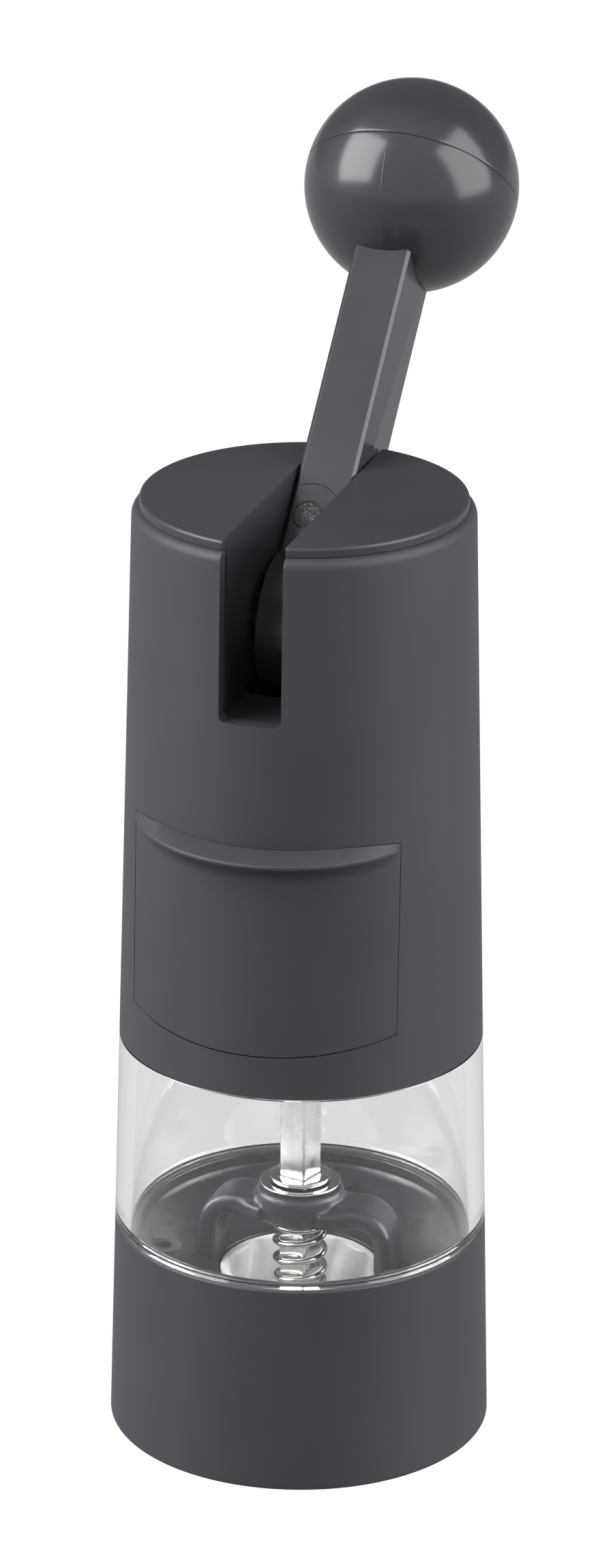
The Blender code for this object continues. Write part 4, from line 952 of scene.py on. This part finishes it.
def half_ball(name, side):
    """Half of the ball, turned about the lever's axis. side is -1 for the lever's half."""
    seam = 0.035 * MM
    soft = 0.06 * MM
    steps = 72
    outline = [(0, side * seam)]
    low = math.asin((seam + soft) / BALL_RADIUS)
    outline.append((BALL_RADIUS - 0.35 * MM, side * seam))
    for i in range(4):
        a = math.pi / 2 * i / 3
        outline.append((
            BALL_RADIUS * math.cos(low) - soft * (1 - math.sin(a)),
            side * (seam + soft * (1 - math.cos(a))),
        ))
    for i in range(1, steps + 1):
        a = low + (math.pi / 2 - low) * i / steps
        outline.append((BALL_RADIUS * math.cos(a), side * BALL_RADIUS * math.sin(a)))
    return moved(turned(name, outline), 0, 0, LEVER_LENGTH)


def make_ball():
    knob = half_ball("ball_lower_half", -1)
    combine(knob, prism("pocket", bar_section(0.05 * MM), 0, LEVER_LENGTH - 1.7 * MM))
    groove = [(10.7, -1.8), (12.7, -1.8), (12.7, 1), (10.7, 1)]
    ring = turned("groove", [(r * MM, LEVER_LENGTH + z * MM) for r, z in groove], 96)
    combine(knob, ring)
    cap = half_ball("ball_upper_half", 1)
    tongue = [(11.0, -1.5), (12.4, -1.5), (12.4, 1), (11.0, 1)]
    ring = turned("tongue", [(r * MM, LEVER_LENGTH + z * MM) for r, z in tongue], 96)
    combine(cap, ring, "UNION")
    for half in (knob, cap):
        smooth(half, 34)
        upright_to_lever(half)
    return knob, cap


ball_lower, ball_upper = make_ball()
finish_piece(make_lever(), lever_satin, "lever", "lever_arm")
finish_piece(ball_lower, split_polish, "lever", "ball_knob")
finish_piece(ball_upper, polished, "lever", "ball_cap")


# ------ clear band and base
LEDGE = cone(BASE_TOP) - 2.5 * MM


def make_reservoir():
    low, top = BASE_TOP + SEAM, SHELL_LOW - SEAM
    collar_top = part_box("reservoir")[1].z
    collar = cone(collar_top) - 1.6 * MM
    return turned(
        "clear_reservoir",
        [
            (LEDGE, low, 0.2 * MM),
            (cone(low), low, 0.3 * MM),
            (cone(top), top, 0.3 * MM),
            (collar, top, 0.3 * MM),
            (collar, collar_top, 0.3 * MM),
            (collar - 1.4 * MM, collar_top, 0.3 * MM),
        ],
        TURN + 24,
    )


finish_piece(make_reservoir(), clear, "housing", "reservoir")


def base_screw_places():
    for i in range(3):
        a = math.radians(90) + 2 * math.pi * i / 3
        yield 20.5 * MM * math.cos(a), 20.5 * MM * math.sin(a)


def make_base():
    flange, low, high = 17.5 * MM, 2.2 * MM, 4.2 * MM
    housing = turned(
        "base_shell",
        [
            (LEDGE, BASE_TOP, 0.25 * MM),
            (cone(BASE_TOP), BASE_TOP, 0.5 * MM),
            (cone(0), 0, 0.6 * MM),
            (LEDGE, 0, 0.4 * MM),
            (LEDGE, low, 0.3 * MM),
            (flange, low, 0.3 * MM),
            (flange, high, 0.3 * MM),
            (LEDGE, high, 0.3 * MM),
        ],
        corner_steps=6,
    )
    for x, y in base_screw_places():
        combine(housing, moved(rod("hole", 1.4 * MM, 0, 9 * MM, 40), x, y))
    smooth(housing, 34)
    return housing


finish_piece(make_base(), satin, "housing", "base_housing")


# ------ burr carrier
def make_bridge():
    """Two arms that grow out of the bowl's wall and run into the hub."""
    inner, outer = 12.3 * MM, 15.0 * MM
    low, under = BURR_TOP - 1.2 * MM, BURR_TOP + 9.0 * MM
    top = under + 2.6 * MM
    drop = 1.4 * MM  # how much deeper the arms are at the hub
    outline = fillet(
        [
            (outer, low), (outer, top, 5.6 * MM), (-outer, top, 5.6 * MM), (-outer, low),
            (-inner, low), (-inner, under, 2.6 * MM), (-5 * MM, under - drop, 2 * MM),
            (5 * MM, under - drop, 2 * MM), (inner, under, 2.6 * MM), (inner, low),
        ],
        12,
    )
    arch = prism("arch", outline, -3.9 * MM, 3.9 * MM)
    arch.data.transform(Matrix(((1, 0, 0, 0), (0, 0, -1, 0), (0, 1, 0, 0), (0, 0, 0, 1))))
    round_edges(arch, 1.0 * MM, 4, angle=50)
    arch.modifiers.clear()
    hub_low = HUB_TOP - 5.4 * MM
    hub = turned(
        "hub",
        [
            (0, hub_low), (5.9 * MM, hub_low, 1.2 * MM), (6.6 * MM, hub_low + 2.4 * MM, 1.0 * MM),
            (6.6 * MM, HUB_TOP, 0.9 * MM), (0, HUB_TOP),
        ],
        96,
    )
    combine(arch, hub, "UNION")
    for side in (-1, 1):
        web = [
            (side * 4.6 * MM, -5.6 * MM), (side * 9.0 * MM, -3.6 * MM),
            (side * 9.0 * MM, 3.6 * MM), (side * 4.6 * MM, 5.6 * MM),
        ]
        combine(arch, prism("web", web, under - 0.6 * MM, top - 0.8 * MM), "UNION")
    combine(arch, rod("bore", 3.42 * MM, 20 * MM, 50 * MM, 48))
    remesh = arch.modifiers.new("Remesh", "REMESH")
    remesh.mode = "VOXEL"
    remesh.voxel_size = 0.26 * MM
    relax = arch.modifiers.new("Smooth", "SMOOTH")
    relax.factor = 0.6
    relax.iterations = 14
    settle(arch)
    arch.data.shade_smooth()
    return arch


def make_carrier():
    collar = LEDGE - 0.3 * MM
    collar_in = collar - 1.2 * MM
    collar_top = BASE_TOP + 0.2 * MM
    step = BASE_TOP - 1.9 * MM
    opening = 12.2 * MM
    bowl = collar_in + 0.3 * MM
    socket_in, socket_out = 14.1 * MM, 16.0 * MM
    slope = (step - BURR_TOP) / (bowl - opening)
    under_socket = BURR_TOP + (socket_out - opening) * slope - 1.8 * MM
    under_collar = BURR_TOP + (collar - opening) * slope - 1.8 * MM
    carrier = turned(
        "carrier_bowl",
        [
            (collar_in, collar_top, 0.35 * MM),
            (collar, collar_top, 0.35 * MM),
            (collar, under_collar, 0.5 * MM),
            (socket_out, under_socket, 0.5 * MM),
            (socket_out, 5.0 * MM, 0.3 * MM),
            (socket_in, 5.0 * MM, 0.3 * MM),
            (socket_in, 20.3 * MM),
            (opening, 20.3 * MM),
            (opening, BURR_TOP, 0.4 * MM),
            (bowl - 0.6 * MM, step - 0.5 * MM, 2.0 * MM),
            (bowl - 0.2 * MM, step + 0.3 * MM, 0.3 * MM),
        ],
        corner_steps=6,
    )
    merge(carrier, make_bridge())
    for x, y in base_screw_places():
        low, high = 4.5 * MM, BURR_TOP + 5.0 * MM
        boss = turned("boss", ring_profile(1.25 * MM, 2.6 * MM, low, high), 40)
        merge(carrier, moved(boss, x, y))
    return carrier


finish_piece(make_carrier(), bowl_satin, "housing", "burr_carrier")


# ------ shaft and burrs
def make_shaft():
    low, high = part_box("drive_shaft")[0].z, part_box("drive_shaft")[1].z
    h = SHAFT_HALF
    c = 0.45 * MM
    section = fillet([(h, h, c), (-h, h, c), (-h, -h, c), (h, -h, c)], 5)
    shaft = prism("shaft", section, low, high)
    shaft.data.transform(Matrix.Rotation(SHAFT_TURN, 4, "Z"))
    round_edges(shaft, 0.25 * MM, 3, angle=60, crease=60)
    return shaft


finish_piece(make_shaft(), drawn_steel, "drive", "drive_shaft")


def make_washer():
    low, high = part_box("bridge_washer")
    radius = high.x
    return turned(
        "washer",
        [
            (3.3 * MM, low.z, 0.1 * MM), (radius, low.z, 0.15 * MM),
            (radius, high.z, 0.2 * MM), (3.3 * MM, high.z, 0.1 * MM),
        ],
        96,
    )


finish_piece(make_washer(), dark_steel, "housing", "bridge_washer")


def square_hole(obj, half, low, high):
    hole = box("hole", (-half, -half, low), (half, half, high))
    hole.data.transform(Matrix.Rotation(SHAFT_TURN, 4, "Z"))
    return combine(obj, hole)


def make_clip():
    low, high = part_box("shaft_clip")
    clip = rod("clip", high.x, low.z, high.z, 96)
    square_hole(clip, 2.42 * MM, low.z - MM, high.z + MM)
    return round_edges(clip, 0.12 * MM, 2, crease=50)


finish_piece(make_clip(), bright_steel, "drive", "shaft_clip")


def coil(radius, turns, bottom, top, per_turn, start=0.0):
    """A helix whose first and last half turns lie almost flat."""
    count = round(turns * per_turn)
    found = []
    for i in range(count + 1):
        share = i / count
        flat = 0.5 / turns
        ease = min(max((share - flat) / (1 - 2 * flat), 0), 1)
        z = bottom + (top - bottom) * (0.9 * ease + 0.1 * share)
        a = start + 2 * math.pi * turns * share
        found.append((radius * math.cos(a), radius * math.sin(a), z))
    return found


def make_burr_spring():
    low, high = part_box("burr_spring")
    path = coil(high.x - 0.5 * MM, 4.2, low.z + 0.5 * MM, high.z - 0.5 * MM, 40, math.radians(-60))
    return wire("spring", path, 0.5 * MM, 14)


spring = make_burr_spring()
spring.data.materials.append(spring_steel)
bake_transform(spring)
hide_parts("burr_spring")


def lobed(count, radius, depth, lobes, z, twist=0.0, sharp=1.0):
    ring = []
    for i in range(count):
        a = 2 * math.pi * i / count
        wave = (0.5 + 0.5 * math.cos(lobes * (a - twist))) ** sharp
        r = radius - depth * wave
        ring.append((r * math.cos(a), r * math.sin(a), z))
    return ring


def make_stator():
    count = 240
    flange, outer = 13.8 * MM, 11.9 * MM
    low, shoulder, top = 13.0 * MM, 20.0 * MM, BURR_TOP
    rings = [
        lobed(count, flange - 0.2 * MM, 0, 1, low),
        lobed(count, flange, 0, 1, low + 0.2 * MM),
        lobed(count, flange, 0, 1, shoulder),
        lobed(count, outer, 0, 1, shoulder),
        lobed(count, outer, 0, 1, top - 0.35 * MM),
        lobed(count, outer - 0.1 * MM, 0, 1, top - 0.12 * MM),
        lobed(count, outer - 0.35 * MM, 0, 1, top),
        lobed(count, outer - 1.3 * MM, -0.2 * MM, 10, top, 0, 2),
        lobed(count, outer - 1.6 * MM, -0.5 * MM, 10, top - 0.2 * MM, 0, 2),
    ]
    for i in range(1, 9):
        share = i / 8
        radius, depth = outer - (1.7 + share) * MM, -(0.5 + 0.3 * share) * MM
        z = top - 0.2 * MM + (17 * MM - top) * share
        rings.append(lobed(count, radius, depth, 10, z, share * 0.2, 2))
    rings.append(lobed(count, outer - 1.1 * MM, -0.3 * MM, 10, low, 0.2, 2))
    return stitch("stator", rings, closed=True, crease=50)


def make_rotor():
    low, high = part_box("ceramic_rotor")
    count = 256
    rings = []
    for i in range(17):
        share = i / 16
        radius = 9.6 * MM + (4.7 * MM - 9.6 * MM) * share
        depth = 1.25 * math.sin(math.pi * (0.12 + 0.8 * share)) * MM
        z = low.z + (high.z - low.z) * share
        rings.append(lobed(count, radius, depth, 8, z, share * 0.7, 1.5))
    rotor = stitch("rotor", rings)
    square_hole(rotor, 2.45 * MM, low.z - MM, high.z + MM)
    smooth(rotor, 45)
    return rotor


finish_piece(make_stator(), ceramic, "housing", "ceramic_stator")
finish_piece(make_rotor(), ceramic, "rotor", "ceramic_rotor")


# ------ pieces carried over
CARRIED = {
    "right_ratchet_gear": nylon,
    "left_ratchet_gear": nylon,
    "bevel_pinion": nylon,
    "gear_frame": nylon,
    "shaft_bushing": nylon,
    "knob_spider": nylon,
    "hinge_bracket": satin,
    "adjust_knob": satin,
    "pivot_pin": bright_steel,
    "door_hinge_pin": bright_steel,
    "thrust_washer": bright_steel,
    "right_ratchet_spring": spring_steel,
    "left_ratchet_spring": spring_steel,
}
CARRIED |= {f"cap_screw_{i}": bright_steel for i in range(1, 5)}
CARRIED |= {f"base_screw_{i}": bright_steel for i in range(1, 4)}
for node, material in CARRIED.items():
    piece = frame["nodes"][node]
    piece.data.materials.clear()
    piece.data.materials.append(material)
    add_bevel(piece, 0.12 * MM, 2, 40)


# ------ stage, lights and camera
def by_ray(tree, **strengths):
    """A strength for each kind of ray that looks at a glowing surface."""
    path = tree.nodes.new("ShaderNodeLightPath")
    total = None
    for kind, strength in strengths.items():
        step = spread(tree, path.outputs[f"Is {kind.title()} Ray"], 0, strength, 0, 1)
        if total is None:
            total = step
            continue
        total = maths(tree, "MAXIMUM", total, step)
    return total


def glowing(name):
    """A table that shows as plain white, but lights the mill less than it would."""
    material, tree, shader = shader_of(name)
    shader.inputs["Base Color"].default_value = (0, 0, 0, 1)
    shader.inputs["Specular IOR Level"].default_value = 0
    shader.inputs["Emission Color"].default_value = (1, 1, 1, 1)
    strength = by_ray(tree, camera=1.0, transmission=0.86, diffuse=0.6, glossy=0.5)
    tree.links.new(strength, shader.inputs["Emission Strength"])
    return material


floor = box("stage_floor", (-6, -6, -0.02), (6, 6, 0))
floor.data.materials.append(glowing("white_table"))

swing = Matrix.Rotation(math.radians(17.65), 4, "Z")
pitch, yaw, roll = 0.373137, 0.0006, 0.00647
level = math.cos(pitch)
forward = Vector((math.sin(yaw) * level, math.cos(yaw) * level, -math.sin(pitch)))
right = Vector((math.cos(yaw), -math.sin(yaw), 0))
upward = right.cross(forward)
right, upward = (
    right * math.cos(roll) + upward * math.sin(roll),
    upward * math.cos(roll) - right * math.sin(roll),
)
right, upward, toward = swing @ right, swing @ upward, swing @ -forward

camera_data = bpy.data.cameras.new("camera")
camera_data.lens = 155.155
camera_data.sensor_width = 36
camera_data.clip_start = 0.01
camera = bpy.data.objects.new("camera", camera_data)
bpy.context.scene.collection.objects.link(camera)
camera.matrix_world = Matrix.Translation(swing @ Vector((0, -0.920435, 0.461451))) @ Matrix(
    (
        (right.x, upward.x, toward.x, 0),
        (right.y, upward.y, toward.y, 0),
        (right.z, upward.z, toward.z, 0),
        (0, 0, 0, 1),
    )
)
bpy.context.scene.camera = camera


def softbox(name, direction, distance, size, radiance, roll=0.0):
    """A rectangular lamp. direction is in the camera's right, up and toward."""
    lamp = bpy.data.lights.new(name, "AREA")
    lamp.shape = "RECTANGLE"
    lamp.size, lamp.size_y = size
    lamp.energy = radiance * math.pi * size[0] * size[1]
    obj = bpy.data.objects.new(name, lamp)
    bpy.context.scene.collection.objects.link(obj)
    centre = Vector((0, 0, 0.1))
    offset = right * direction[0] + upward * direction[1] + toward * direction[2]
    obj.location = centre + offset.normalized() * distance
    facing = (centre - obj.location).to_track_quat("-Z", "Y")
    obj.rotation_euler = (facing @ Quaternion((0, 0, 1), math.radians(roll))).to_euler()
    return obj


left_box = softbox("left_softbox", (-0.790, 0.474, 0.40), 1.2, (0.92, 1.0), 8.4, 18)
right_box = softbox("right_softbox", (0.84, 0.353, 0.411), 1.2, (1.0, 1.25), 4.8)
left_fill = softbox("left_fill", (-1.0, 0.1, -0.05), 1.2, (1.0, 1.2), 8.0)
right_fill = softbox("right_fill", (1.0, 0.1, -0.05), 1.2, (1.0, 1.2), 7.0)
for fill in (left_fill, right_fill):
    fill.visible_glossy = False

world = bpy.data.worlds.new("white")
world.use_nodes = True
sky = world.node_tree
sky.nodes["Background"].inputs["Color"].default_value = (1, 1, 1, 1)
split = sky.nodes.new("ShaderNodeSeparateXYZ")
sky.links.new(sky.nodes.new("ShaderNodeTexCoord").outputs["Generated"], split.inputs["Vector"])
shine = spread(sky, split.outputs["Y"], 1.0, 0.15, -0.3, 0.4)
ambient = by_ray(sky, camera=1.0, transmission=0.25, diffuse=0.7)
glossy = sky.nodes.new("ShaderNodeLightPath").outputs["Is Glossy Ray"]
mix = sky.nodes.new("ShaderNodeMix")
sky.links.new(glossy, mix.inputs["Factor"])
sky.links.new(ambient, mix.inputs["A"])
sky.links.new(shine, mix.inputs["B"])
sky.links.new(mix.outputs["Result"], sky.nodes["Background"].inputs["Strength"])
bpy.context.scene.world = world
bpy.context.scene.view_settings.view_transform = "Standard"
bpy.context.scene.cycles.use_denoising = True
